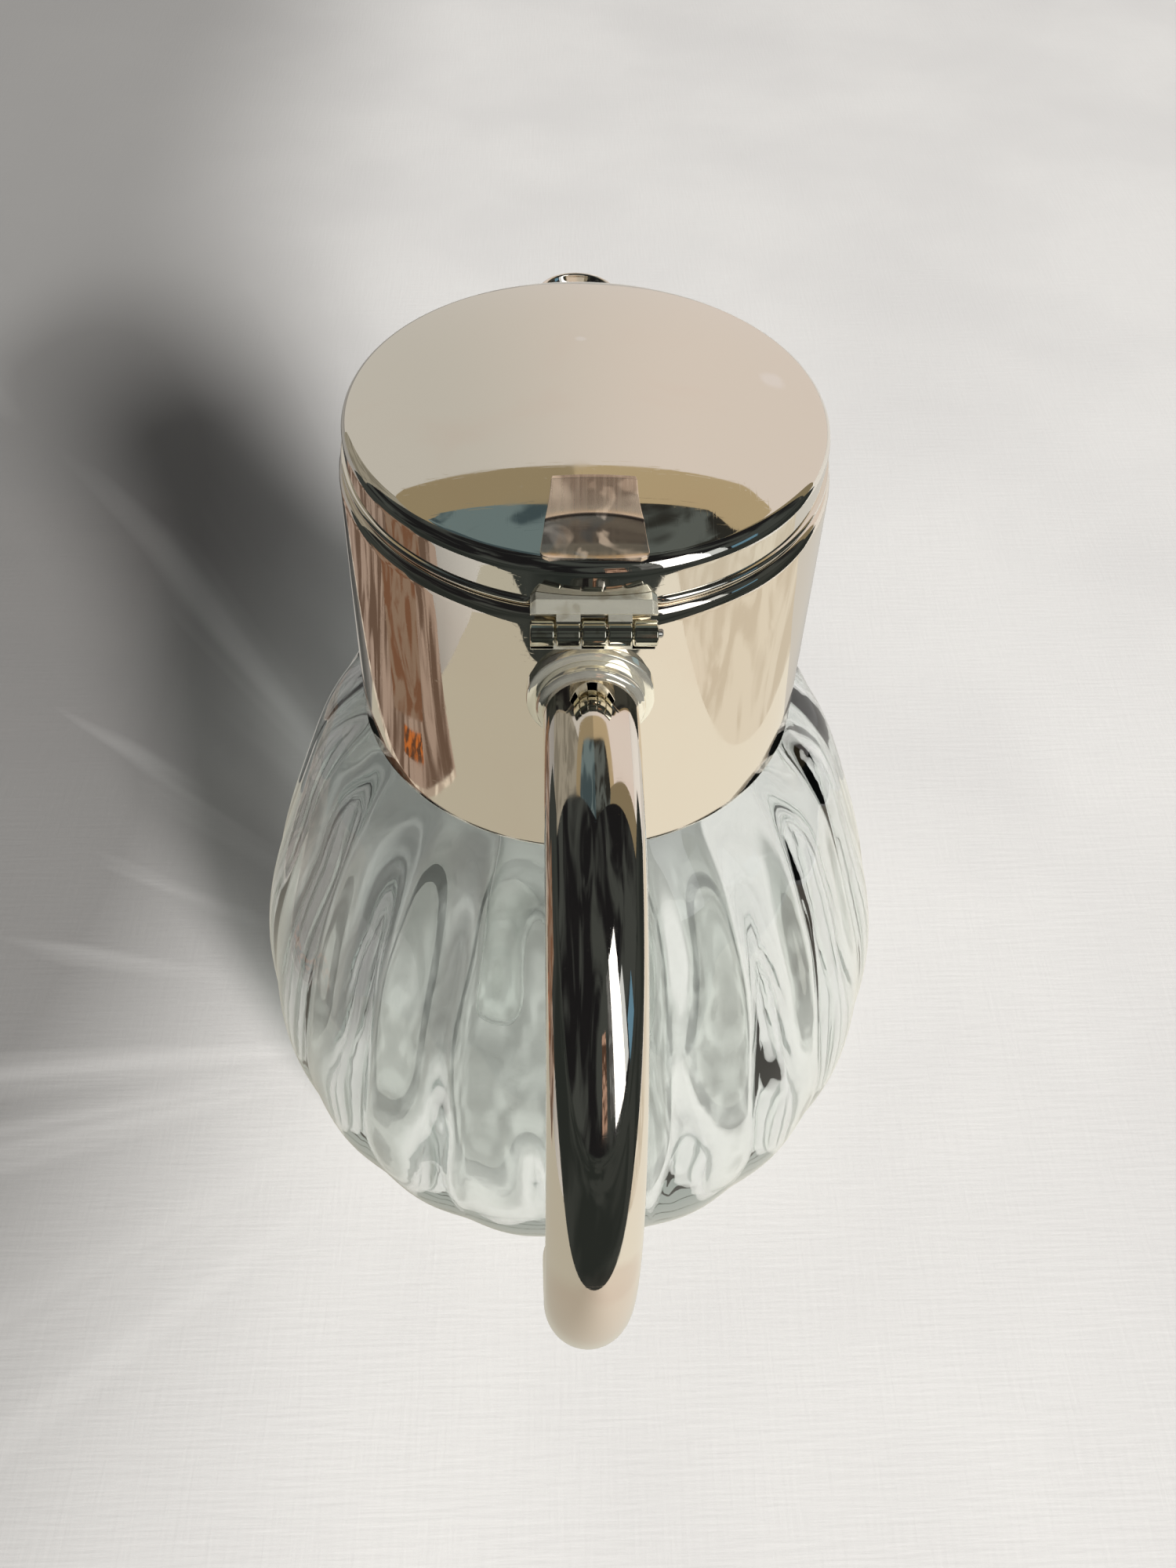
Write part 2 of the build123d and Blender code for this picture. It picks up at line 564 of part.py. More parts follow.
def handle_nut():
    """The hexagon nut that clamps the handle from inside the collar."""
    plane = Plane(
        origin=(0, -nut_outer_y(), HANDLE_HEIGHT), x_dir=(1, 0, 0), z_dir=(0, 1, 0)
    )
    flat = STUD_RADIUS + NUT_WALL
    hexagon = RegularPolygon(flat, 6, major_radius=False)
    body = extrude(plane * hexagon, NUT_THICKNESS)
    return body - handle_bar(STUD_RADIUS + FIT_GAP, CUT_START, CUT_END)


def dome_height(radius, inset=0.0):
    """Height of the lid's dome at a radius, or of its underside with an inset."""
    rim_share = (LID_RADIUS - LID_FILLET) / (DOME_RADIUS - LID_FILLET)
    fillet_top = LID_BAND_TOP_HEIGHT + LID_FILLET * math.sqrt(1 - rim_share ** 2)
    centre = fillet_top - DOME_RADIUS * math.sqrt(1 - rim_share ** 2)
    return centre + math.sqrt((DOME_RADIUS - inset) ** 2 - radius ** 2)


def lid_profile_points(inset):
    """Corner points of the lid's section: dome top, dome edge, fillet middle, band top."""
    rim_angle = math.asin((LID_RADIUS - LID_FILLET) / (DOME_RADIUS - LID_FILLET))
    small = LID_FILLET - inset
    hub = LID_RADIUS - LID_FILLET
    middle = (math.pi / 2 + rim_angle) / 2
    top = (0, dome_height(0, inset))
    edge = (hub + small * math.sin(rim_angle), LID_BAND_TOP_HEIGHT + small * math.cos(rim_angle))
    turn = (hub + small * math.sin(middle), LID_BAND_TOP_HEIGHT + small * math.cos(middle))
    band = (LID_RADIUS - inset, LID_BAND_TOP_HEIGHT)
    half = ((DOME_RADIUS - inset) * math.sin(rim_angle / 2))
    dome_middle = (half, dome_height(half, inset))
    return top, dome_middle, edge, turn, band


def lid_shell():
    """The domed lid with its upright band and a bead round its lower edge."""
    top, dome_mid, edge, turn, band = lid_profile_points(0.0)
    in_top, in_mid, in_edge, in_turn, in_band = lid_profile_points(SHEET)
    foot = (LID_RADIUS, LID_BOTTOM_HEIGHT)
    in_foot = (LID_RADIUS - SHEET, LID_BOTTOM_HEIGHT)
    outline = [
        ThreePointArc(top, dome_mid, edge),
        ThreePointArc(edge, turn, band),
        Line(band, foot),
        Line(foot, in_foot),
        Line(in_foot, in_band),
        ThreePointArc(in_band, in_turn, in_edge),
        ThreePointArc(in_edge, in_mid, in_top),
        Line(in_top, top),
    ]
    shell = turned(Plane.XZ * make_face(Curve() + outline))
    return shell + lid_bead()


def lid_bead():
    """The half-round bead on the lid's band, left out where the hinge leaf sits."""
    bottom = LID_BOTTOM_HEIGHT
    centre = bottom + LID_BEAD_RADIUS
    top = centre + LID_BEAD_RADIUS
    inner = LID_RADIUS - SHEET / 2
    outline = [
        Line((inner, bottom), (LID_RADIUS, bottom)),
        ThreePointArc((LID_RADIUS, bottom), (LID_RADIUS + LID_BEAD_RADIUS, centre), (LID_RADIUS, top)),
        Line((LID_RADIUS, top), (inner, top)),
        Line((inner, top), (inner, bottom)),
    ]
    bead = turned(Plane.XZ * make_face(Curve() + outline))
    half = (HINGE_WIDTH + KNUCKLE_GAP) / 2
    notch = block(-half, half, -CUT_END, -CUT_START, centre - SHEET, centre + SHEET)
    return bead - (notch - lid_solid(0.0))


def lid_bezel():
    """The ring inside the lid that closes its band and drops into the collar's mouth."""
    outer = LID_RADIUS - SHEET - BED_GAP
    flange = ring(BEZEL_RADIUS - SHEET, outer, LID_BOTTOM_HEIGHT, LID_BOTTOM_HEIGHT + SHEET)
    skirt = ring(BEZEL_RADIUS - SHEET, BEZEL_RADIUS,
                 COLLAR_TOP_HEIGHT - BEZEL_DEPTH, LID_BOTTOM_HEIGHT + SHEET)
    return flange + skirt


def thumb_rest():
    """The thumb rest: a wedge with two hollowed faces, narrower towards the lid's middle."""
    front = (-THUMB_FRONT_Y, LID_BAND_TOP_HEIGHT + THUMB_FRONT_RISE)
    crease = (-THUMB_CREASE_Y, LID_BAND_TOP_HEIGHT + THUMB_CREASE_RISE)
    top = (-THUMB_TOP_Y, THUMB_TOP_HEIGHT)
    back = (top[0] + THUMB_EDGE, top[1])
    heel = (back[0] + THUMB_BACK_RUN, dome_height(THUMB_TOP_Y) - SHEET)
    outline = [
        ThreePointArc(front, scooped(front, crease), crease),
        ThreePointArc(crease, scooped(crease, top), top),
        Line(top, back),
        Line(back, heel),
        Line(heel, (heel[0], LID_BAND_TOP_HEIGHT)),
        Line((heel[0], LID_BAND_TOP_HEIGHT), (front[0], LID_BAND_TOP_HEIGHT)),
        Line((front[0], LID_BAND_TOP_HEIGHT), front),
    ]
    side = Plane.YZ * make_face(Curve() + outline)
    slab = extrude(side, THUMB_FRONT_WIDTH, both=True)
    return (slab & thumb_plan()) - lid_solid(SOLDER_GAP)


def scooped(start, end):
    """The lowest point of a shallow hollow between two points of the thumb rest's side."""
    return (start[0] + end[0] + THUMB_SCOOP) / 2, (start[1] + end[1]) / 2 - THUMB_SCOOP


def thumb_plan():
    """A tall prism with the thumb rest's trapezoid plan and rounded front corners."""
    half_front = THUMB_FRONT_WIDTH / 2
    half_top = THUMB_TOP_WIDTH / 2
    slope = (half_front - half_top) / (THUMB_FRONT_Y - THUMB_TOP_Y)
    back_run = THUMB_EDGE + THUMB_BACK_RUN + SHEET
    half_back = half_top - slope * back_run
    back_y = -THUMB_TOP_Y + back_run
    plan = Polygon(
        (-half_front, -THUMB_FRONT_Y), (half_front, -THUMB_FRONT_Y),
        (half_back, back_y), (-half_back, back_y), align=None,
    )
    front_corners = plan.vertices().sort_by(Axis.Y)[:2]
    plan = fillet(front_corners, THUMB_CORNER)
    tall = THUMB_TOP_HEIGHT - LID_BOTTOM_HEIGHT
    return Pos(0, 0, LID_BOTTOM_HEIGHT) * extrude(plan, tall + SHEET)


def lid_solid(grown):
    """The lid's outer form as one solid, grown a little, to seat the thumb rest on."""
    top, dome_mid, edge, turn, band = lid_profile_points(-grown)
    outline = [
        ThreePointArc(top, dome_mid, edge),
        ThreePointArc(edge, turn, band),
        Line(band, (LID_RADIUS + grown, LID_BOTTOM_HEIGHT)),
        Line((LID_RADIUS + grown, LID_BOTTOM_HEIGHT), (0, LID_BOTTOM_HEIGHT)),
        Line((0, LID_BOTTOM_HEIGHT), top),
    ]
    return turned(Plane.XZ * make_face(Curve() + outline))


def knuckle_span(index):
    """Start and end in X of one knuckle, counted from the left."""
    start = -HINGE_WIDTH / 2 + index * KNUCKLE_PITCH + KNUCKLE_GAP / 2
    return start, start + KNUCKLE_PITCH - KNUCKLE_GAP


def hinge_bar(radius, start_x, end_x):
    """A round bar on the hinge axis between two places in X."""
    middle = (start_x + end_x) / 2
    return Pos(middle, -PIN_Y, PIN_HEIGHT) * Rot(0, 90, 0) * Cylinder(radius, end_x - start_x)


def block(x0, x1, y0, y1, z0, z1):
    """A box between two corners."""
    return Pos((x0 + x1) / 2, (y0 + y1) / 2, (z0 + z1) / 2) * Box(x1 - x0, y1 - y0, z1 - z0)


def hinge_collar_leaf():
    """The fixed leaf: a strap against the collar with the first, third and fifth knuckles."""
    back_y = -COLLAR_TOP_RADIUS + COLLAR_SHOULDER_ROUND
    face_y = -PIN_Y + KNUCKLE_RADIUS - LEAF_SHEET
    strap_top = PIN_HEIGHT - KNUCKLE_RADIUS - LEAF_TOP_GAP
    strap_bottom = strap_top - LEAF_DEPTH
    half = HINGE_WIDTH / 2 - KNUCKLE_GAP / 2
    leaf = block(-half, half, face_y, back_y, strap_bottom, strap_top)
    for index in range(0, KNUCKLE_COUNT, 2):
        start, end = knuckle_span(index)
        leaf += hinge_bar(KNUCKLE_RADIUS, start, end)
        leaf += block(start, end, face_y, -PIN_Y + KNUCKLE_RADIUS, strap_bottom, PIN_HEIGHT)
    leaf -= collar_cone(SOLDER_GAP)
    return leaf - hinge_bar(PIN_RADIUS + PIN_CLEARANCE, -HINGE_WIDTH, HINGE_WIDTH)


def hinge_lid_leaf():
    """The moving leaf: a sloping strap on the lid's band with the second and fourth knuckles."""
    seat_y = -LID_RADIUS + 2 * SHEET
    top_z = LID_BOTTOM_HEIGHT + LID_LEAF_RISE
    root_z = top_z - LID_LEAF_ROOT_THICKNESS
    lip_y = -LID_RADIUS - LEAF_SHEET
    reach = (KNUCKLE_RADIUS + LEAF_SWING_GAP) * math.sqrt(0.5)
    chin = (-PIN_Y + reach, PIN_HEIGHT + reach)
    nose = (chin[0] - LEAF_SHEET * math.sqrt(0.5), chin[1] + LEAF_SHEET)
    section = Polygon((seat_y, top_z), (lip_y, top_z), nose, chin, (seat_y, root_z), align=None)
    strap = extrude(Plane.YZ * section, HINGE_WIDTH / 2 - KNUCKLE_GAP / 2, both=True)
    corners = strap.edges().filter_by(Axis.Y).sort_by(Axis.Z)[-2:]
    strap = chamfer(corners, LID_LEAF_CORNER)
    knuckle_top = (-PIN_Y, PIN_HEIGHT + KNUCKLE_RADIUS)
    knuckle_core = (-PIN_Y, PIN_HEIGHT + KNUCKLE_RADIUS / 2)
    web_section = Polygon(nose, knuckle_top, knuckle_core, chin, align=None)
    for index in range(1, KNUCKLE_COUNT, 2):
        start, end = knuckle_span(index)
        plane = Plane(origin=(start, 0, 0), x_dir=(0, 1, 0), z_dir=(1, 0, 0))
        strap += extrude(plane * web_section, end - start)
        strap += hinge_bar(KNUCKLE_RADIUS, start, end)
    strap -= lid_solid(SOLDER_GAP)
    return strap - hinge_bar(PIN_RADIUS + PIN_CLEARANCE, -HINGE_WIDTH, HINGE_WIDTH)


def hinge_pin():
    """The pin through all five knuckles, a little proud on the right."""
    half = HINGE_WIDTH / 2
    return hinge_bar(PIN_RADIUS, -half + KNUCKLE_GAP / 2, half + PIN_PROUD)


def ice_tube():
    """The glass ice tube with a rounded closed bottom and a thick rim that hangs on the carrier."""
    rim_bottom = CARRIER_TOP_HEIGHT + FIT_GAP
    rim_top = rim_bottom + TUBE_RIM_THICKNESS
    tall = rim_top - TUBE_BOTTOM_HEIGHT
    outer = Pos(0, 0, TUBE_BOTTOM_HEIGHT + tall / 2) * Cylinder(TUBE_RADIUS, tall)
    outer = fillet(outer.edges().sort_by(Axis.Z)[0], TUBE_BOTTOM_ROUND)
    inner = Pos(0, 0, TUBE_BOTTOM_HEIGHT + TUBE_WALL + tall / 2) * Cylinder(
        TUBE_RADIUS - TUBE_WALL, tall
    )
    inner = fillet(inner.edges().sort_by(Axis.Z)[0], TUBE_BOTTOM_ROUND - TUBE_WALL)
    rim = Pos(0, 0, (rim_bottom + rim_top) / 2) * Cylinder(TUBE_RIM_RADIUS, TUBE_RIM_THICKNESS)
    rim_edges = rim.edges().sort_by(Axis.Z)[-1]
    rim = fillet(rim_edges, TUBE_RIM_THICKNESS / 2)
    return outer + rim - inner


def carrier_ring():
    """The lift-out metal carrier: a pierced plate with a sleeve round the ice tube."""
    bore = TUBE_RADIUS + CARRIER_HOLE_CLEARANCE
    plate = ring(bore, CARRIER_RADIUS, CARRIER_BOTTOM_HEIGHT, CARRIER_TOP_HEIGHT)
    sleeve = ring(bore, bore + CARRIER_SLEEVE_WALL,
                  CARRIER_TOP_HEIGHT - CARRIER_SLEEVE_DEPTH, CARRIER_TOP_HEIGHT)
    plate += sleeve
    for slot in range(CARRIER_SLOT_COUNT):
        plate -= carrier_slot(slot * 360 / CARRIER_SLOT_COUNT)
    return plate


def carrier_slot(degrees):
    """A curved opening through the carrier's plate, centred on an angle."""
    bottom = CARRIER_BOTTOM_HEIGHT - CARRIER_THICKNESS
    top = CARRIER_TOP_HEIGHT + CARRIER_THICKNESS
    blank = ring(CARRIER_SLOT_INNER, CARRIER_SLOT_OUTER, bottom, top)
    reach = 2 * CARRIER_SLOT_OUTER
    half = math.radians(CARRIER_SLOT_ANGLE / 2)
    wedge = Polygon(
        (0, 0), (reach, -reach * math.tan(half)), (reach, reach * math.tan(half)), align=None
    )
    wedge = Pos(0, 0, bottom) * extrude(wedge, top - bottom)
    return Rot(0, 0, degrees) * (blank & wedge)


def write(name, shape):
    """Write one sub-part to its own STEP file."""
    export_step(shape, os.path.join("parts", name + ".step"))


SUB_PARTS = {
    "glass_body": glass_body,
    "neck_cement": neck_cement,
    "collar_shell": collar_shell,
    "carrier_seat_ring": seat_ring,
    "spout_body": spout_body,
    "spout_strainer": spout_strainer,
    "handle_tube": handle_tube,
    "handle_flange": handle_flange,
    "handle_ferrule": handle_ferrule,
    "handle_end_cap": handle_end_cap,
    "handle_stud": handle_stud,
    "handle_washer": handle_washer,
    "handle_nut": handle_nut,
    "hinge_collar_leaf": hinge_collar_leaf,
    "hinge_pin": hinge_pin,
    "hinge_lid_leaf": hinge_lid_leaf,
    "lid_shell": lid_shell,
    "lid_bezel": lid_bezel,
    "thumb_rest": thumb_rest,
    "ice_tube": ice_tube,
    "ice_tube_carrier": carrier_ring,
}

os.makedirs("parts", exist_ok=True)
for part_name, maker in SUB_PARTS.items():
    write(part_name, maker())
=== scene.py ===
"""Looks of the lidded glass carafe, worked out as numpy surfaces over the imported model.

Sizes are in millimetres until a mesh is made. +Z is up, the handle points to -Y, the spout to +Y.
"""

import logging
import math
from dataclasses import dataclass
from enum import Enum
from typing import Any, Optional, Sequence

import bmesh
import bpy
import numpy as np
from mathutils import Matrix, Vector


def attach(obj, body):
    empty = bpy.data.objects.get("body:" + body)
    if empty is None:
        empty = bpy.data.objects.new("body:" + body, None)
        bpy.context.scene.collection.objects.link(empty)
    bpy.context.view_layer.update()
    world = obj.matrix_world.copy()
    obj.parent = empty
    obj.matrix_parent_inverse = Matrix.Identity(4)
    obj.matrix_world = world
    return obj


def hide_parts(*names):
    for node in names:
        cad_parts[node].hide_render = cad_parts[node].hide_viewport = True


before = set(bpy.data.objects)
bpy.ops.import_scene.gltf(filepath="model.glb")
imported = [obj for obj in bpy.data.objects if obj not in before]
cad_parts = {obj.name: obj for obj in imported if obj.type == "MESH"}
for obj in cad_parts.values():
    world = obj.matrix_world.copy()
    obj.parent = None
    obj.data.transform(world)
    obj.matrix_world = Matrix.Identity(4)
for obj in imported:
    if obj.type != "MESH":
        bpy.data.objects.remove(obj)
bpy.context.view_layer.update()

LOG = logging.getLogger("carafe")
MM = 0.001
# Millimetres left between a piece and the one that it is laid on.
CLEAR = 0.03
# Metres within which points are joined, and below which an edge counts as none.
WELD = 2e-7
SLIVER = 1e-7
TAU = 2 * math.pi
Grid = np.ndarray
Piece = bpy.types.Object
Finish = bpy.types.Material
Socket = bpy.types.NodeSocket
Colour = tuple[float, float, float]


# Surfaces

@dataclass
class Shell:
    """A surface: its points in millimetres and the faces between them."""

    points: Grid
    faces: list[list[int]]


def skin(grid: Grid, close_rows: bool = False, caps: bool = False) -> Shell:
    """Join a grid of closed loops: point (i, j) with (i, j+1), (i+1, j+1) and (i+1, j).

    Args:
        grid: Points as rows by columns by 3; every row is a closed loop.
        close_rows: True if the last row joins the first one.
        caps: True to close the first and last row with one flat face each.

    Returns:
        The joined shell.
    """
    rows, cols = grid.shape[:2]
    index = np.arange(rows * cols).reshape(rows, cols)
    low = index if close_rows else index[:-1]
    high = np.roll(index, -1, axis=0) if close_rows else index[1:]
    quads = np.stack([low, np.roll(low, -1, 1), np.roll(high, -1, 1), high], axis=-1)
    faces = quads.reshape(-1, 4).tolist()
    if caps:
        faces += [index[0].tolist(), index[-1].tolist()]
    return Shell(grid.reshape(-1, 3), faces)


def angles(count: int) -> Grid:
    """A number of equal steps round a circle, in radians."""
    return np.linspace(0.0, TAU, count, endpoint=False)


def turn(profile: Grid, segments: int, ripple: Optional[Any] = None) -> Grid:
    """Turn a profile round Z: x = (r + d) sin a, y = -(r + d) cos a, z = h.

    Args:
        profile: Radius and height of each point of the profile.
        segments: Number of columns round the axis.
        ripple: Optional function of radius, height and angle that gives d.

    Returns:
        Points as profile rows by angle columns by 3.
    """
    angle = angles(segments)[None, :]
    radius = np.repeat(profile[:, :1], segments, axis=1)
    height = np.repeat(profile[:, 1:], segments, axis=1)
    if ripple is not None:
        radius = radius + ripple(radius, height, angle)
    return np.stack([radius * np.sin(angle), -radius * np.cos(angle), height], axis=-1)


def rounded(corners: Sequence[tuple[float, float, float]], steps: int = 6) -> Grid:
    """A closed outline whose corners are blends (1-s)^2 A + 2s(1-s) P + s^2 B.

    Args:
        corners: Two coordinates and the rounding radius of each corner P.
        steps: Points on each rounding; A and B lie r / tan(half the corner) from P.

    Returns:
        The outline's points, two coordinates each.
    """
    data = np.asarray(corners, float)
    point, radius = data[:, :2], data[:, 2]
    back, ahead = (np.roll(point, way, axis=0) - point for way in (1, -1))
    back /= np.linalg.norm(back, axis=1, keepdims=True)
    ahead /= np.linalg.norm(ahead, axis=1, keepdims=True)
    half = np.arccos(np.clip((back * ahead).sum(axis=1), -1, 1)) / 2
    run = (radius / np.tan(half))[:, None]
    s = np.linspace(0, 1, steps)[None, :, None]
    start, end = ((point + side * run)[:, None, :] for side in (back, ahead))
    arcs = (1 - s) ** 2 * start + 2 * s * (1 - s) * point[:, None, :] + s ** 2 * end
    return arcs.reshape(-1, 2)


def refined(outline: Grid, spacing: float, closed: bool = True) -> Grid:
    """The same outline with extra points on its long runs, by linear interpolation.

    Args:
        outline: Points of the outline.
        spacing: Largest distance between the extra points.
        closed: True if the outline's end joins its start.

    Returns:
        The outline with the extra points.
    """
    path = np.vstack([outline, outline[:1]]) if closed else outline
    step = np.linalg.norm(np.diff(path, axis=0), axis=1)
    path = path[np.concatenate([[True], step > 1e-6])]
    length = np.concatenate([[0.0], np.cumsum(np.linalg.norm(np.diff(path, axis=0), axis=1))])
    stops = np.union1d(length, np.arange(0, length[-1], spacing))
    full = np.stack([np.interp(stops, length, path[:, k]) for k in range(path.shape[1])], axis=1)
    return full[:-1] if closed else full


class Spline:
    """A natural cubic through values at chord-length knots, evaluated as arrays."""

    def __init__(self, values: Sequence[Sequence[float]]) -> None:
        """Solve g(i-1) m(i-1) + 2 (g(i-1) + g(i)) m(i) + g(i) m(i+1) = 6 (change of slope at i).

        Each m is a second derivative, 0 at both ends, and each g the gap between two knots.

        Args:
            values: Rows of coordinates; the first two place the knots.
        """
        self.value = np.asarray(values, float)
        gap = np.linalg.norm(np.diff(self.value[:, :2], axis=0), axis=1)
        self.knot = np.concatenate([[0.0], np.cumsum(gap)])
        system = np.eye(len(self.knot))
        right = np.zeros_like(self.value)
        for i in range(1, len(self.knot) - 1):
            system[i, i - 1:i + 2] = gap[i - 1], 2 * (gap[i - 1] + gap[i]), gap[i]
            rise = (self.value[i + 1] - self.value[i]) / gap[i]
            right[i] = 6 * (rise - (self.value[i] - self.value[i - 1]) / gap[i - 1])
        self.bend = np.linalg.solve(system, right)

    def at(self, share: Grid) -> Grid:
        """The values at shares 0 to 1 of the whole length, one more axis at the end.

        Args:
            share: Places along the curve, from 0 at its start to 1 at its end.

        Returns:
            The values there, along one more axis.
        """
        place = np.asarray(share, float) * self.knot[-1]
        i = np.clip(np.searchsorted(self.knot, place, side="right") - 1, 0, len(self.knot) - 2)
        gap = (self.knot[i + 1] - self.knot[i])[..., None]
        b = (place - self.knot[i])[..., None] / gap
        a = 1 - b
        curve = ((a ** 3 - a) * self.bend[i] + (b ** 3 - b) * self.bend[i + 1]) * gap ** 2 / 6
        return a * self.value[i] + b * self.value[i + 1] + curve


def along_x(outline: Grid, start: float, end: float, soft: float = 0.0) -> Shell:
    """Carry a closed YZ outline along X, drawn in by a chamfer at both ends.

    Args:
        outline: Y and Z of the outline's points.
        start: X where it starts.
        end: X where it ends.
        soft: Width of the chamfer; points move towards the outline's middle by it.

    Returns:
        The closed bar.
    """
    middle = outline.mean(axis=0)
    reach = np.linalg.norm(outline - middle, axis=1, keepdims=True)
    shrunk = middle + (outline - middle) * (1 - soft / np.maximum(reach, soft))
    places = [(start, shrunk), (start + soft, outline), (end - soft, outline), (end, shrunk)]
    if soft == 0:
        places = [(start, outline), (end, outline)]
    rows = [np.column_stack([np.full(len(loop), x), loop]) for x, loop in places]
    return skin(np.stack(rows), caps=True)


def circle(radius: float, y: float, z: float, count: int = 48) -> Grid:
    """A round YZ outline: y + r cos a, z + r sin a."""
    return np.stack([y + radius * np.cos(angles(count)), z + radius * np.sin(angles(count))], axis=1)


def make_piece(name: str, shells: Sequence[Shell], body: str,
               crease: float = 40.0, bevel: float = 0.0) -> Piece:
    """Put closed shells into one object that rides on a body.

    Args:
        name: Name of the piece.
        shells: Its closed shells.
        body: The body that it moves with.
        crease: Angle in degrees past which an edge stays sharp.
        bevel: Width in millimetres of the rounding on sharp edges, or 0.

    Returns:
        The new object.
    """
    starts = np.cumsum([0] + [len(shell.points) for shell in shells])
    points = np.vstack([shell.points for shell in shells]) * MM
    faces = [[i + int(start) for i in face]
             for shell, start in zip(shells, starts) for face in shell.faces]
    mesh = bpy.data.meshes.new(name)
    mesh.from_pydata(points.tolist(), [], faces)
    tidy = bmesh.new()
    tidy.from_mesh(mesh)
    bmesh.ops.remove_doubles(tidy, verts=tidy.verts, dist=WELD)
    bmesh.ops.dissolve_degenerate(tidy, edges=tidy.edges, dist=SLIVER)
    bmesh.ops.recalc_face_normals(tidy, faces=tidy.faces)
    tidy.to_mesh(mesh)
    tidy.free()
    mesh.shade_smooth()
    mesh.set_sharp_from_angle(angle=math.radians(crease))
    piece = bpy.data.objects.new(name, mesh)
    bpy.context.scene.collection.objects.link(piece)
    if bevel:
        edge = piece.modifiers.new("soft_edges", "BEVEL")
        edge.width = bevel * MM
        edge.segments = 3
        edge.limit_method = "ANGLE"
        edge.angle_limit = math.radians(crease)
        edge.harden_normals = True
    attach(piece, body)
    LOG.info("%s: %d points", name, len(mesh.vertices))
    return piece


# Finishes

class Graph:
    """A material's node tree with short calls for the nodes that the finishes share."""

    def __init__(self, name: str) -> None:
        """Start an empty material that reads Object coordinates.

        Args:
            name: Name of the material.
        """
        self.material = bpy.data.materials.new(name)
        self.material.use_nodes = True
        self.tree = self.material.node_tree
        self.tree.nodes.clear()
        self.end = self.tree.nodes.new("ShaderNodeOutputMaterial").inputs
        self.place = self.node("TexCoord", {}, "Object")

    def node(self, kind: str, inputs: dict[Any, Any], output: Any = 0, **settings: Any) -> Socket:
        """Add a node and give one of its outputs.

        Args:
            kind: Blender's name of the node, without its ShaderNode.
            inputs: Values or output sockets for its inputs, by name or number.
            output: Name or number of the output.
            **settings: The node's own settings.

        Returns:
            The output socket.
        """
        made = self.tree.nodes.new("ShaderNode" + kind)
        for key, value in settings.items():
            setattr(made, key, value)
        for key, value in inputs.items():
            if isinstance(value, Socket):
                self.tree.links.new(value, made.inputs[key])
            else:
                made.inputs[key].default_value = value
        return made.outputs[output]

    def along(self, axis: str) -> Socket:
        """The Object coordinate along X, Y or Z."""
        return self.node("SeparateXYZ", {0: self.place}, axis)

    def noise(self, scale: float, detail: float = 3.0, stretch: Colour = (1, 1, 1),
              warp: float = 0.0, place: Optional[Socket] = None) -> Socket:
        """Noise at a number of cells per metre, drawn out along an axis by its stretch.

        Args:
            scale: Cells per metre.
            detail: Finer layers that are added.
            stretch: Factors on the cells' number along X, Y and Z.
            warp: How far the pattern distorts itself.
            place: Coordinates to use in place of the Object ones.

        Returns:
            Noise from 0 to 1.
        """
        moved = self.node("Mapping", {"Vector": place or self.place, "Scale": stretch})
        return self.node("TexNoise", {
            "Vector": moved, "Scale": scale, "Detail": detail, "Distortion": warp})

    def spread(self, value: Socket, low: float, high: float,
               out_low: float = 0.0, out_high: float = 1.0) -> Socket:
        """Map a value between two limits to two others, clamped and eased."""
        return self.node("MapRange", {"Value": value, 1: low, 2: high, 3: out_low, 4: out_high},
                         interpolation_type="SMOOTHSTEP")

    def blend(self, share: Socket, first: Any, second: Any) -> Socket:
        """Mix two colours by a share."""
        paint = [(*c, 1.0) if isinstance(c, tuple) else c for c in (first, second)]
        return self.node("Mix", {0: share, 6: paint[0], 7: paint[1]}, 2, data_type="RGBA")

    def sum(self, first: Any, second: Any, operation: str = "ADD", clamp: bool = False) -> Socket:
        """Combine two values with an arithmetic operation."""
        return self.node("Math", {0: first, 1: second}, operation=operation, use_clamp=clamp)

    def times(self, first: Any, second: Any) -> Socket:
        """The product of two values."""
        return self.sum(first, second, "MULTIPLY")

    def away(self, place: Socket, point: Colour) -> Socket:
        """Distance from a point given in millimetres."""
        return self.node("VectorMath", {0: place, 1: tuple(v * MM for v in point)}, "Value",
                         operation="DISTANCE")

    def bump(self, height: Socket, depth: float, under: Optional[Socket] = None) -> Socket:
        """A relief of a depth in millimetres, on top of another one if given."""
        inputs = {"Height": height, "Distance": depth * MM, "Strength": 1.0}
        return self.node("Bump", inputs | ({"Normal": under} if under is not None else {}))

    def finish(self, surface: Socket, end: str = "Surface") -> Finish:
        """Link a shader to one of the material's ends."""
        self.tree.links.new(surface, self.end[end])
        return self.material

    def surface(self, **inputs: Any) -> Finish:
        """Finish with a Principled shader whose inputs are given with _ for spaces.

        Args:
            **inputs: Values or sockets for the shader's inputs.

        Returns:
            The material.
        """
        named = {key.replace("_", " "): value for key, value in inputs.items()}
        if isinstance(named["Base Color"], tuple):
            named["Base Color"] = (*named["Base Color"], 1.0)
        return self.finish(self.node("BsdfPrincipled", named))


class Polish(Enum):
    """How far a plated surface is polished: lowest and highest roughness."""

    MIRROR = (0.02, 0.07)
    HANDLED = (0.03, 0.12)
    INSIDE = (0.16, 0.30)


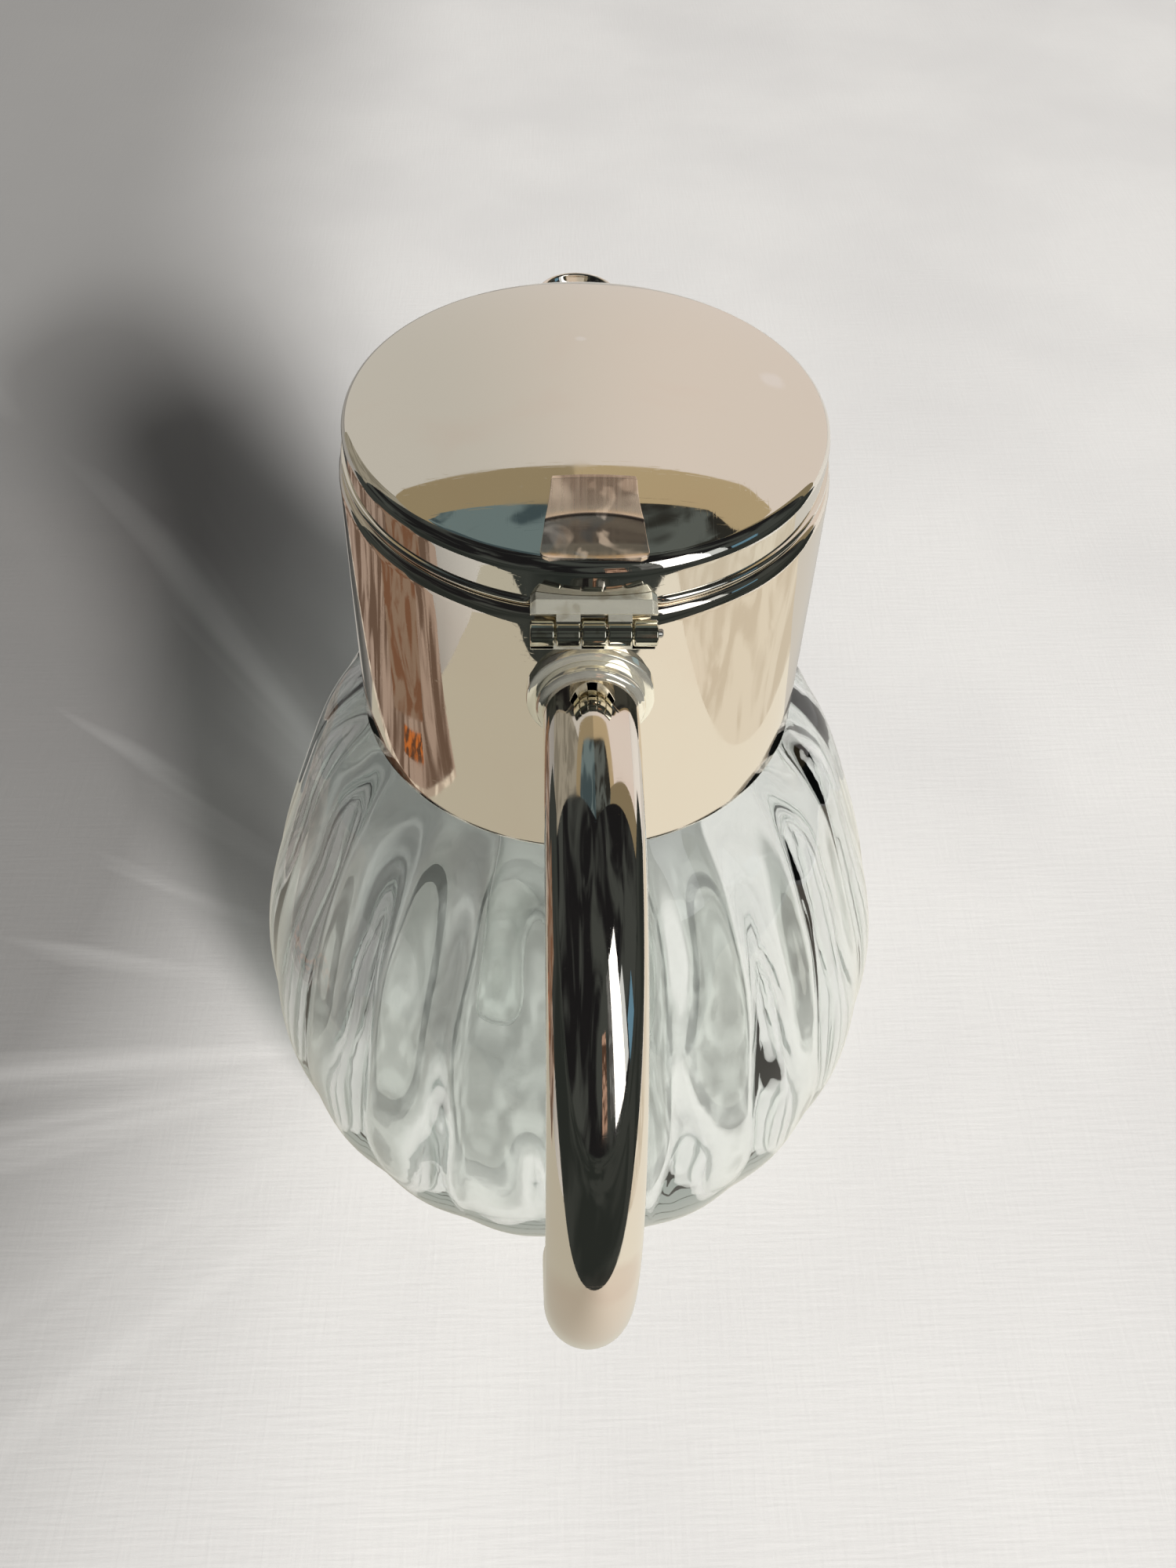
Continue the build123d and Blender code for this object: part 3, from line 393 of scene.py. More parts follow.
@dataclass(frozen=True)
class SilverPlate:
    """Warm silver plate with fine scratches and patches worn to a pinker tone."""

    name: str
    polish: Polish = Polish.MIRROR
    tint: Colour = (0.93, 0.86, 0.77)
    worn: Colour = (0.90, 0.74, 0.64)
    wear_and_glint_tone: Colour = (1.0, 0.95, 0.90)
    # Tone of the marks: worn plate, and painted highlight where a lamp's reflection is painted in.
    wear: float = 0.35
    scratch_depth: float = 0.0006
    sway_depth: float = 0.02
    metal: float = 1.0
    marks: tuple[tuple[float, float, float, float], ...] = ()
    patch_cells: float = 34.0
    haze_cells: float = 75.0
    speck_cells: float = 900.0
    hairline_cells: tuple[float, float] = (420.0, 380.0)
    sway_cells: float = 42.0
    ragged_cells: float = 260.0
    ragged: float = 2.2

    def material(self) -> Finish:
        """Noise turns the tint towards the worn tone; stretched noise cuts hairlines.

        Each mark is a spot with a ragged edge: its x, y, z and radius. Marks stand for worn plate and for
        painted lamp reflections.

        Returns:
            The material.
        """
        graph = Graph(self.name)
        share = graph.spread(graph.noise(self.patch_cells, 4.0, warp=0.6), 0.50, 0.78, 0.0, self.wear)
        colour = graph.blend(share, self.tint, self.worn)
        ragged = graph.times(graph.noise(self.ragged_cells, 3.0), self.ragged * MM)
        # Marks: worn spots, and painted highlights where a lamp's reflection is painted into the colour.
        for *point, radius in self.marks:
            away = graph.sum(graph.away(graph.place, point), ragged)
            edge = graph.spread(away, radius * 0.75 * MM, radius * 1.3 * MM, 0.6, 0.0)
            colour = graph.blend(edge, colour, self.wear_and_glint_tone)
        haze = graph.spread(graph.noise(self.haze_cells, 6.0, warp=1.0), 0.42, 0.80, *self.polish.value)
        specks = graph.spread(graph.noise(self.speck_cells, 2.0), 0.70, 0.78, 0.0, 0.12)
        first = graph.noise(self.hairline_cells[0], 2.0, stretch=(6.0, 0.25, 0.4), warp=0.4)
        second = graph.noise(self.hairline_cells[1], 2.0, stretch=(0.3, 5.0, 4.0), warp=0.5)
        lines = graph.sum(graph.spread(first, 0.60, 0.68), graph.spread(second, 0.62, 0.70))
        relief = graph.bump(graph.noise(self.sway_cells, 1.0), self.sway_depth)
        return graph.surface(Base_Color=colour, Metallic=self.metal, Roughness=graph.sum(haze, specks),
                             Normal=graph.bump(lines, self.scratch_depth, relief))


@dataclass(frozen=True)
class BrushedBronze:
    """Plate brushed down the slope and worn to a bronze tone under the thumb."""

    name: str
    light: Colour = (0.84, 0.66, 0.50)
    dark: Colour = (0.36, 0.26, 0.19)
    smooth: Colour = (0.66, 0.60, 0.53)
    # Colour of the painted shade in the crease.
    line: Colour = (0.09, 0.07, 0.06)
    crease: float = -39.2
    arch: float = 1.2
    half: float = 8.5
    # Width above the crease over which painted light pales the plate.
    fade: float = 4.5
    edge: float = 0.2
    # Inner and outer half widths of the painted crease shade, in millimetres.
    drawn: tuple[float, float] = (0.12, 0.42)
    brush_cells: float = 1300.0
    patch_cells: float = 110.0
    glint_cells: float = 150.0

    def material(self) -> Finish:
        """Brushing is noise stretched down the slope; painted shade in the crease is drawn as a dark
        arched line, and painted light pales the plate above the crease towards it.

        The line follows y = crease + arch (1 - (x / half)^2). In front of it the plate is smooth.

        Returns:
            The material.
        """
        graph = Graph(self.name)
        brush = graph.noise(self.brush_cells, 4.0, stretch=(1.0, 0.04, 0.04))
        patch = graph.noise(self.patch_cells, 2.0, warp=0.8)
        side = graph.sum(graph.times(graph.along("X"), 1 / (self.half * MM)), 2.0, "POWER")
        bend = graph.times(graph.sum(1.0, side, "SUBTRACT"), self.arch * MM)
        away = graph.sum(graph.sum(graph.along("Y"), self.crease * MM, "SUBTRACT"), bend, "SUBTRACT")
        upper = graph.spread(away, -self.edge * MM, self.edge * MM)
        # Painted light: the upper facet turns paler towards the crease.
        near = graph.spread(away, 0.0, self.fade * MM, 0.75, 0.0)
        tone = graph.blend(graph.spread(patch, 0.34, 0.62), self.dark, self.light)
        tone = graph.blend(near, tone, self.light)
        colour = graph.blend(graph.spread(brush, 0.40, 0.70, 0.0, 0.25), tone, self.light)
        lower = graph.blend(graph.spread(patch, 0.44, 0.58), self.smooth, self.light)
        colour = graph.blend(upper, lower, colour)
        # Painted shade: a dark line along the crease.
        inner, outer = self.drawn
        drawn = graph.spread(graph.sum(away, 0.0, "ABSOLUTE"), inner * MM, outer * MM, 0.9, 0.0)
        rough = graph.sum(graph.spread(brush, 0.35, 0.70, 0.0, 0.10), 0.13)
        glint = graph.spread(graph.noise(self.glint_cells, 2.0, warp=0.8), 0.50, 0.62, 0.0, 0.22)
        metal = graph.sum(graph.spread(upper, 0.0, 1.0, 0.96, 0.80), glint, "SUBTRACT")
        return graph.surface(Base_Color=graph.blend(drawn, colour, self.line), Metallic=metal,
                             Roughness=graph.sum(rough, graph.times(upper, 0.10)),
                             Anisotropic=0.3, Normal=graph.bump(brush, 0.003))


@dataclass(frozen=True)
class HingePlate:
    """Pale soldered plate on the leaves that turns to a mirror on the knuckles."""

    name: str
    tint: Colour = (0.93, 0.90, 0.76)
    stain: Colour = (0.62, 0.56, 0.42)
    axis: tuple[float, float] = (-51.3, 222.4)
    reach: float = 2.4
    edge: float = 0.15
    grain_cells: float = 700.0
    stain_cells: float = 330.0

    def material(self) -> Finish:
        """Distance from the pin's axis picks the polish; noise stains the plate.

        Returns:
            The material.
        """
        graph = Graph(self.name)
        flat = graph.node("VectorMath", {0: graph.place, 1: (0.0, 1.0, 1.0)}, operation="MULTIPLY")
        away = graph.away(flat, (0.0, *self.axis))
        barrel = graph.spread(away, self.reach * MM, (self.reach + self.edge) * MM, 1.0, 0.0)
        grain = graph.noise(self.grain_cells, 3.0, stretch=(0.3, 1.0, 1.0))
        stains = graph.spread(graph.noise(self.stain_cells, 3.0), 0.55, 0.70, 0.0, 0.6)
        rough = graph.sum(graph.spread(barrel, 0.0, 1.0, 0.20, 0.05),
                          graph.spread(grain, 0.4, 0.7, 0.0, 0.07))
        return graph.surface(Base_Color=graph.blend(stains, self.tint, self.stain), Roughness=rough,
                             Metallic=graph.spread(barrel, 0.0, 1.0, 0.82, 1.0),
                             Normal=graph.bump(grain, 0.004))


@dataclass(frozen=True)
class BlownGlass:
    """Clear glass with a faint green absorption through its thickness."""

    name: str
    tint: Colour = (0.985, 1.0, 0.99)
    dim_film: Colour = (0.52, 0.53, 0.525)
    clear_film: Colour = (0.80, 0.81, 0.805)
    near_film: Colour = (0.60, 0.61, 0.605)
    bright_film: Colour = (0.93, 0.94, 0.935)
    depth_tint: Colour = (0.62, 0.86, 0.72)
    density: float = 3.0
    sway_depth: float = 0.10
    sway_cells: float = 40.0
    ripple_cells: float = 85.0
    smear_cells: float = 60.0
    streak_cells: float = 70.0
    bar_cells: float = 85.0
    lamp_way: tuple[float, float] = (0.48, 0.87)
    far_side: tuple[float, float] = (10.0, 35.0)

    def material(self) -> Finish:
        """Broad low relief gives the drift of blown glass; a volume gives the green edges.

        Rays towards a lamp pass it as through a film, nearly clear on the handle's side so that
        light falls into the jug, and dimmer on the far side. Upright bars gather that light.

        Returns:
            The material.
        """
        graph = Graph(self.name)
        sway = graph.noise(self.sway_cells, 2.0, stretch=(1.0, 1.0, 0.6), warp=1.0)
        ripple = graph.noise(self.ripple_cells, 1.0, stretch=(0.5, 0.5, 1.3))
        relief = graph.bump(ripple, self.sway_depth / 4, graph.bump(sway, self.sway_depth))
        smear = graph.spread(graph.noise(self.smear_cells, 5.0), 0.62, 0.80, 0.0, 0.025)
        graph.surface(Base_Color=self.tint, Roughness=smear, IOR=1.52,
                      Transmission_Weight=1.0, Normal=relief)
        streaks = graph.noise(self.streak_cells, 2.0, stretch=(1.0, 1.0, 0.22), warp=0.5)
        dimmed = graph.blend(graph.spread(streaks, 0.42, 0.60), self.dim_film, self.clear_film)
        (left, ahead), (start, end) = self.lamp_way, self.far_side
        behind = graph.sum(graph.times(graph.along("Y"), ahead), graph.times(graph.along("X"), left),
                           "SUBTRACT")
        far = graph.spread(behind, start * MM, end * MM)
        bars = graph.noise(self.bar_cells, 1.0, stretch=(1.0, 1.0, 0.12))
        near = graph.blend(graph.spread(bars, 0.42, 0.58), self.near_film, self.bright_film)
        film = graph.node("BsdfTransparent", {"Color": graph.blend(far, near, dimmed)})
        lamp = graph.node("LightPath", {}, "Is Shadow Ray")
        solid = graph.end["Surface"].links[0].from_socket
        graph.finish(graph.node("MixShader", {0: lamp, 1: solid, 2: film}))
        body = {"Color": (*self.depth_tint, 1.0), "Density": self.density}
        return graph.finish(graph.node("VolumeAbsorption", body), "Volume")


@dataclass(frozen=True)
class PlainMetal:
    """Machined or drawn metal with turning marks."""

    name: str
    light: Colour
    dark: Colour
    rough: tuple[float, float] = (0.22, 0.40)
    mark_cells: float = 1800.0
    stain_cells: float = 260.0

    def material(self) -> Finish:
        """Fine noise stretched across the axis stands for turning marks.

        Returns:
            The material.
        """
        graph = Graph(self.name)
        marks = graph.noise(self.mark_cells, 2.0, stretch=(0.2, 1.0, 1.0))
        stains = graph.spread(graph.noise(self.stain_cells, 4.0), 0.35, 0.70)
        tone = graph.blend(stains, self.light, self.dark)
        return graph.surface(Base_Color=tone, Metallic=1.0, Normal=graph.bump(marks, 0.004),
                             Roughness=graph.spread(marks, 0.3, 0.7, *self.rough))


@dataclass(frozen=True)
class Cement:
    """Hard pale cement, grainy and matt."""

    name: str
    light: Colour = (0.62, 0.57, 0.49)
    dark: Colour = (0.45, 0.41, 0.35)
    stain_cells: float = 160.0
    grain_cells: float = 2400.0

    def material(self) -> Finish:
        """Two scales of noise give grain and stains.

        Returns:
            The material.
        """
        graph = Graph(self.name)
        tone = graph.blend(graph.noise(self.stain_cells, 4.0), self.light, self.dark)
        return graph.surface(Base_Color=tone, Roughness=0.9,
                             Normal=graph.bump(graph.noise(self.grain_cells, 5.0), 0.08))


@dataclass(frozen=True)
class FloorCloth:
    """The plain pale cloth that the carafe stands on."""

    name: str
    light: Colour = (0.80, 0.79, 0.775)
    dark: Colour = (0.735, 0.725, 0.715)
    shaded: Colour = (0.25, 0.245, 0.24)
    weave_cells: float = 700.0
    broad_cells: float = 7.0
    left_shade: tuple[float, float] = (-0.26, -0.05)
    front_light: tuple[float, float] = (-0.22, -0.04)
    pool_at: tuple[float, float] = (-0.185, 0.17)
    pool_half: tuple[float, float] = (0.115, 0.27)

    def material(self) -> Finish:
        """Two crossed stretched noises make a fine weave; painted shade darkens the cloth towards the
        left.

        An oval pool of painted shadow, sqrt(((x - a) / w)^2 + ((y - b) / d)^2) < 1 or so, lies left of
        the jug, and noise over the angle round the jug draws paler rays of painted light through it.

        Returns:
            The material.
        """
        graph = Graph(self.name)
        weave = graph.sum(graph.noise(self.weave_cells, 3.0, stretch=(1.0, 0.08, 1.0)),
                          graph.noise(self.weave_cells, 3.0, stretch=(0.08, 1.0, 1.0)))
        broad = graph.spread(graph.noise(self.broad_cells, 3.0), 0.3, 0.7)
        tone = graph.blend(broad, self.light, self.dark)
        tone = graph.blend(graph.spread(weave, 0.8, 1.25, 0.0, 0.2), tone, self.dark)
        # Painted shade: darker to the left and towards the back.
        x, y = graph.along("X"), graph.along("Y")
        shade = graph.times(graph.spread(x, *self.left_shade, 1.0, 0.0),
                            graph.spread(y, *self.front_light, 0.46, 0.80))
        # Painted shadow of the carafe, with painted rays of light thrown by the glass.
        (across, up), (wide, deep) = self.pool_at, self.pool_half
        oval = graph.node("Mapping", {"Vector": graph.place, "Scale": (1 / wide, 1 / deep, 1.0),
                                      "Location": (-across / wide, -up / deep, 0.0)})
        away = graph.node("VectorMath", {0: oval}, "Value", operation="LENGTH")
        turned = graph.sum(y, graph.times(x, -1.0), "ARCTAN2")
        fan = graph.node("CombineXYZ", {0: turned, 1: away})
        rays = graph.noise(1.0, 2.0, stretch=(9.0, 0.5, 1.0), place=fan)
        pool = graph.times(graph.spread(away, 0.35, 1.45, 0.60, 0.0),
                           graph.spread(rays, 0.50, 0.72, 1.0, 0.45))
        tone = graph.blend(graph.sum(shade, pool, clamp=True), tone, self.shaded)
        return graph.surface(Base_Color=tone, Roughness=0.85, Normal=graph.bump(weave, 0.06))


def dress(target: Piece, material: Finish) -> None:
    """Give a new piece or a kept node its material.

    Args:
        target: The piece or node.
        material: Its finish.
    """
    if target.material_slots:
        for place in target.material_slots:
            place.material = material
    else:
        target.data.materials.append(material)


def dress_node(name: str, material: Finish) -> None:
    """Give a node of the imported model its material, by name."""
    dress(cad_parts[name], material)


# The carafe

@dataclass
class GlassJug:
    """The blown body: upright optic lobes outside, opposite waves inside."""

    stations: tuple[tuple[float, float, float], ...] = (
        (60.0, 0.0, 0.0), (70.0, 6.0, 0.35), (77.6, 17.0, 0.8), (83.2, 34.0, 1.0),
        (85.2, 54.5, 1.0), (81.4, 85.5, 1.0), (74.3, 109.0, 0.95), (67.4, 128.0, 0.85),
        (59.4, 145.0, 0.6), (51.4, 154.0, 0.3), (45.4, 161.0, 0.0), (44.0, 167.0, 0.0),
    )
    neck_top: float = 180.0
    wall: float = 3.0
    neck_wall: float = 3.4
    floor: float = 8.0
    inner_heel: float = 22.0
    lobes: int = 20
    lobe_turn: float = math.radians(-3.4)
    outer_wave: float = 0.5
    inner_wave: float = 0.8
    weave: float = 0.016
    foot_radius: float = 52.0
    foot_edge: float = 56.0
    foot_lift: float = 1.0
    neck_rows: tuple[float, float] = (171.0, 175.0)
    segments: int = 280
    outer_rows: int = 118
    inner_rows: int = 112

    def lobe(self, angle: Grid) -> Grid:
        """One lobe's relief, 2 |sin(n a / 2)|^1.4 - 1: round crests and narrow valleys."""
        return 2 * np.abs(np.sin(self.lobes * (angle - self.lobe_turn) / 2)) ** 1.4 - 1

    def share(self, height: Grid) -> Grid:
        """How strongly the lobes show at a height."""
        data = np.array(self.stations)
        return np.interp(height, data[:, 1], data[:, 2])

    @staticmethod
    def drift(height: Grid, angle: Grid, phase: float) -> Grid:
        """Slow uneven blowing: 0.2 sin(3a + h/31 + p) + 0.14 sin(5a - h/19 + 2p)."""
        slow = 0.20 * np.sin(3 * angle + height / 31 + phase)
        return slow + 0.14 * np.sin(5 * angle - height / 19 + 2 * phase)

    def outside(self) -> Grid:
        """Profile from the middle of the foot up to the rim, with a shallow lifted foot.

        Returns:
            Radius and height of each point.
        """
        wall = Spline([(r, h) for r, h, _ in self.stations]).at(np.linspace(0, 1, self.outer_rows))
        share = np.linspace(0, 1, 9)[:, None]
        foot = np.hstack([share * self.foot_radius, self.foot_lift * (1 - share ** 4)])
        neck = self.stations[-1][0]
        edge, upright = [(self.foot_edge, 0)], [(neck, height) for height in self.neck_rows]
        return np.vstack([foot, edge, wall, upright])

    def inside(self) -> Grid:
        """Profile of the cavity from the rim down to the middle of the floor.

        Returns:
            Radius and height of each point.
        """
        points = [(r - self.wall - 0.75 * s, h) for r, h, s in self.stations[3:10]]
        bore = self.stations[-1][0] - self.neck_wall
        heel = points[0][0] - self.inner_heel
        ends = [(heel - 2, self.floor), (heel, self.floor)]
        path = Spline(ends + points + [(bore, 167.0), (bore, 168.5)])
        wall = path.at(np.linspace(0, 1, self.inner_rows))
        wall[:, 1] = np.maximum(wall[:, 1], self.floor)
        floor = np.linspace(0, 1, 8)[:, None] * (heel - 4)
        floor = np.hstack([floor, np.full_like(floor, self.floor)])
        return np.vstack([floor, wall, [(bore, 175)]])[::-1]

    def rim(self) -> Grid:
        """The fire-polished rim: a half ellipse between the two walls.

        Returns:
            Radius and height of each point.
        """
        angle = np.linspace(0, math.pi, 11)[1:-1]
        middle = self.stations[-1][0] - self.neck_wall / 2
        return np.stack([middle + self.neck_wall / 2 * np.cos(angle),
                         self.neck_top - 2 + 2 * np.sin(angle)], axis=1)

    def build(self) -> Piece:
        """Turn the profiles: outside r + w(h) L(a) + drift, inside r - v(h) L(b) + drift.

        The inner lobes weave, b = a + c sin(h / 9 + 5 sin 2a), which breaks the light seen
        through the wall into zigzags.

        Returns:
            The glass body.
        """
        outer = turn(self.outside(), self.segments, lambda r, h, a: self.share(h) * (
            self.outer_wave * (self.lobe(a) - 0.35) + self.drift(h, a, 0.4)))
        rim = turn(self.rim(), self.segments)
        inner = turn(self.inside(), self.segments, lambda r, h, a: self.share(h) * (
            self.drift(h, a, 2.1)
            - self.inner_wave * self.lobe(a + self.weave * np.sin(h / 9 + 5 * np.sin(2 * a)))))
        shell = skin(np.concatenate([outer, rim, inner]))
        piece = make_piece("blown_glass_body", [shell], "jug", crease=60)
        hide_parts("glass_body")
        return piece

    def dress(self, piece: Piece) -> None:
        """Glass for the body, cement for the bed under the collar."""
        dress(piece, BlownGlass("blown_glass").material())
        dress_node("neck_cement", Cement("bed_cement").material())


@dataclass
class Collar:
    """The drawn metal sleeve that holds the neck, with its seat ring inside."""

    bottom: float = 158.2
    top: float = 223.9
    foot_radius: float = 49.6
    top_radius: float = 48.4
    mouth: float = 43.2
    sheet: float = 1.0
    hole_height: float = 193.0
    hole_half: tuple[float, float] = (8.5, 9.5)
    hole_run: tuple[float, float] = (40.0, 58.0)
    segments: int = 240

    def radius(self, height: Any) -> Any:
        """Outer radius, falling evenly from foot to top."""
        share = (height - self.bottom) / (self.top - self.bottom)
        return self.foot_radius + share * (self.top_radius - self.foot_radius)

    def profile(self) -> Grid:
        """Closed section of the sheet: curled foot, wall, shoulder and turned-in mouth.

        Returns:
            Radius and height of each point.
        """
        foot, low, top, sheet, mouth = self.foot_radius, self.bottom, self.top, self.sheet, self.mouth
        return refined(rounded([
            (foot - 1.6, low, 0.25), (foot, low, 1.5), (self.top_radius, top, 2.9),
            (mouth, top, 0.8), (mouth, top - 4, 0.3), (mouth + sheet, top - 4, 0.3),
            (mouth + sheet, top - sheet, 0.4), (self.top_radius - sheet, top - sheet, 1.9),
            (foot - sheet, low + sheet, 0.6), (foot - 1.6, low + sheet, 0.2),
        ]), 1.2)

    def sway(self, radius: Grid, height: Grid, angle: Grid) -> Grid:
        """Hand-finished wall: small sines in angle and height, gone at both rims.

        Args:
            radius: Radius of each point; not used.
            height: Height of each point.
            angle: Angle of each point round the axis.

        Returns:
            What is added to the radius.
        """
        inside = np.clip((height - self.bottom - 4) * (self.top - 6 - height) / 300, 0, 1)
        return inside * (0.020 * np.sin(9 * angle + height / 13)
                         + 0.014 * np.sin(17 * angle - height / 8))

    def build(self) -> Piece:
        """Turn the sheet and cut the spout's opening through its front.

        Returns:
            The collar.
        """
        shell = skin(turn(self.profile(), self.segments, self.sway), close_rows=True)
        piece = make_piece("drawn_collar", [shell], "jug", crease=50)
        wide, tall = self.hole_half
        angle = angles(48)
        ring = np.stack([wide * np.cos(angle), 0 * angle, self.hole_height + tall * np.sin(angle)], 1)
        bar = skin(np.stack([ring + (0, run, 0) for run in self.hole_run]), caps=True)
        self.cut(piece, make_piece("cutter", [bar], "jug"))
        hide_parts("collar_shell")
        return piece

    @staticmethod
    def cut(piece: Piece, cutter: Piece) -> None:
        """Take a cutter out of a piece and throw the cutter away.

        Args:
            piece: The piece that gets the opening.
            cutter: A closed shape, removed afterwards.
        """
        tool = piece.modifiers.new("opening", "BOOLEAN")
        tool.operation = "DIFFERENCE"
        tool.solver = "EXACT"
        tool.object = cutter
        done = bpy.data.meshes.new_from_object(
            piece.evaluated_get(bpy.context.evaluated_depsgraph_get()))
        piece.modifiers.remove(tool)
        old, piece.data = piece.data, done
        bpy.data.meshes.remove(old)
        bpy.data.objects.remove(cutter)
        piece.data.set_sharp_from_angle(angle=math.radians(40))

    def dress(self, piece: Piece) -> None:
        """Mirror plate outside, duller plate on the rings inside.

        Args:
            piece: The collar.
        """
        dress(piece, SilverPlate("collar_plate", tint=(0.95, 0.87, 0.76), wear=0.2).material())
        inner = SilverPlate("inner_plate", Polish.INSIDE, tint=(0.80, 0.76, 0.70)).material()
        for node in ("carrier_seat_ring", "spout_strainer", "lid_bezel", "ice_tube_carrier"):
            dress_node(node, inner)


@dataclass
class Spout:
    """The pouring spout: ovals carried along a curve from the collar to a rolled lip."""

    collar: Collar
    sections: tuple[tuple[float, float, float, float, float], ...] = (
        (40.0, 189.0, 12.0, 15.0, 90.0), (58.0, 197.5, 9.4, 10.53, 48.0),
        (62.2, 208.0, 7.8, 7.8, 16.0), (63.6, 216.5, 7.7, 7.7, 4.0), (64.0, 220.1, 9.2, 9.2, 0.0),
    )
    wall: float = 1.0
    fillet: float = 0.9
    fillet_share: float = 0.12
    segments: int = 96
    traced: int = 300

    def ovals(self, share: Grid, grow: Grid, rise: float = 0.0) -> Grid:
        """Centre + (a + g) cos t X + (b + g) sin t V, with V square to the tilted path.

        Args:
            share: Place along the path for each row and column, 0 to 1.
            grow: How much each point's oval grows or shrinks.
            rise: Shift along the path's direction.

        Returns:
            Points as a grid.
        """
        y, z, wide, deep, tilt = np.moveaxis(Spline(self.sections).at(share), -1, 0)
        angle, lean = angles(self.segments)[None, :], np.radians(tilt)
        side = (deep + grow) * np.sin(angle)
        return np.stack([(wide + grow) * np.cos(angle) + 0 * y,
                         y + side * np.cos(lean) + rise * np.sin(lean),
                         z - side * np.sin(lean) + rise * np.cos(lean)], axis=-1)

    def rows(self, grow: float, count: int) -> Grid:
        """Rows from the collar's surface, where x^2 + y^2 first passes R(z)^2, to the lip.

        Args:
            grow: How much the ovals grow, or shrink where it is negative.
            count: Number of rows.

        Returns:
            Points as a grid.
        """
        dense = np.repeat(np.linspace(0, 1, self.traced)[:, None], self.segments, axis=1)
        points = self.ovals(dense, np.full_like(dense, grow))
        out = np.hypot(points[..., 0], points[..., 1]) > self.collar.radius(points[..., 2]) + CLEAR
        first = dense[np.argmax(out, axis=0), 0][None, :]
        step = np.linspace(0, 1, count)[:, None]
        share = first + (1 - first) * step
        fading = np.clip(1 - step / self.fillet_share, 0, 1) ** 2
        skirt = self.fillet * fading if grow == 0 else 0 * step
        return self.ovals(share, grow + skirt + 0 * share)

    def build(self) -> Piece:
        """Outer rows, a half-round lip and inner rows, closed on the collar.

        Returns:
            The spout.
        """
        end, half = np.ones((1, self.segments)), self.wall / 2
        lip = [self.ovals(end, end * (half * math.cos(b) - half), half * math.sin(b))
               for b in np.linspace(0, math.pi, 9)[1:-1]]
        grid = np.concatenate([self.rows(0.0, 64), *lip, self.rows(-self.wall, 48)[::-1]])
        piece = make_piece("pouring_spout", [skin(grid, close_rows=True)], "jug",
                           crease=50)
        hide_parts("spout_body")
        return piece

    def dress(self, piece: Piece) -> None:
        """Mirror plate."""
        dress(piece, SilverPlate("spout_plate").material())


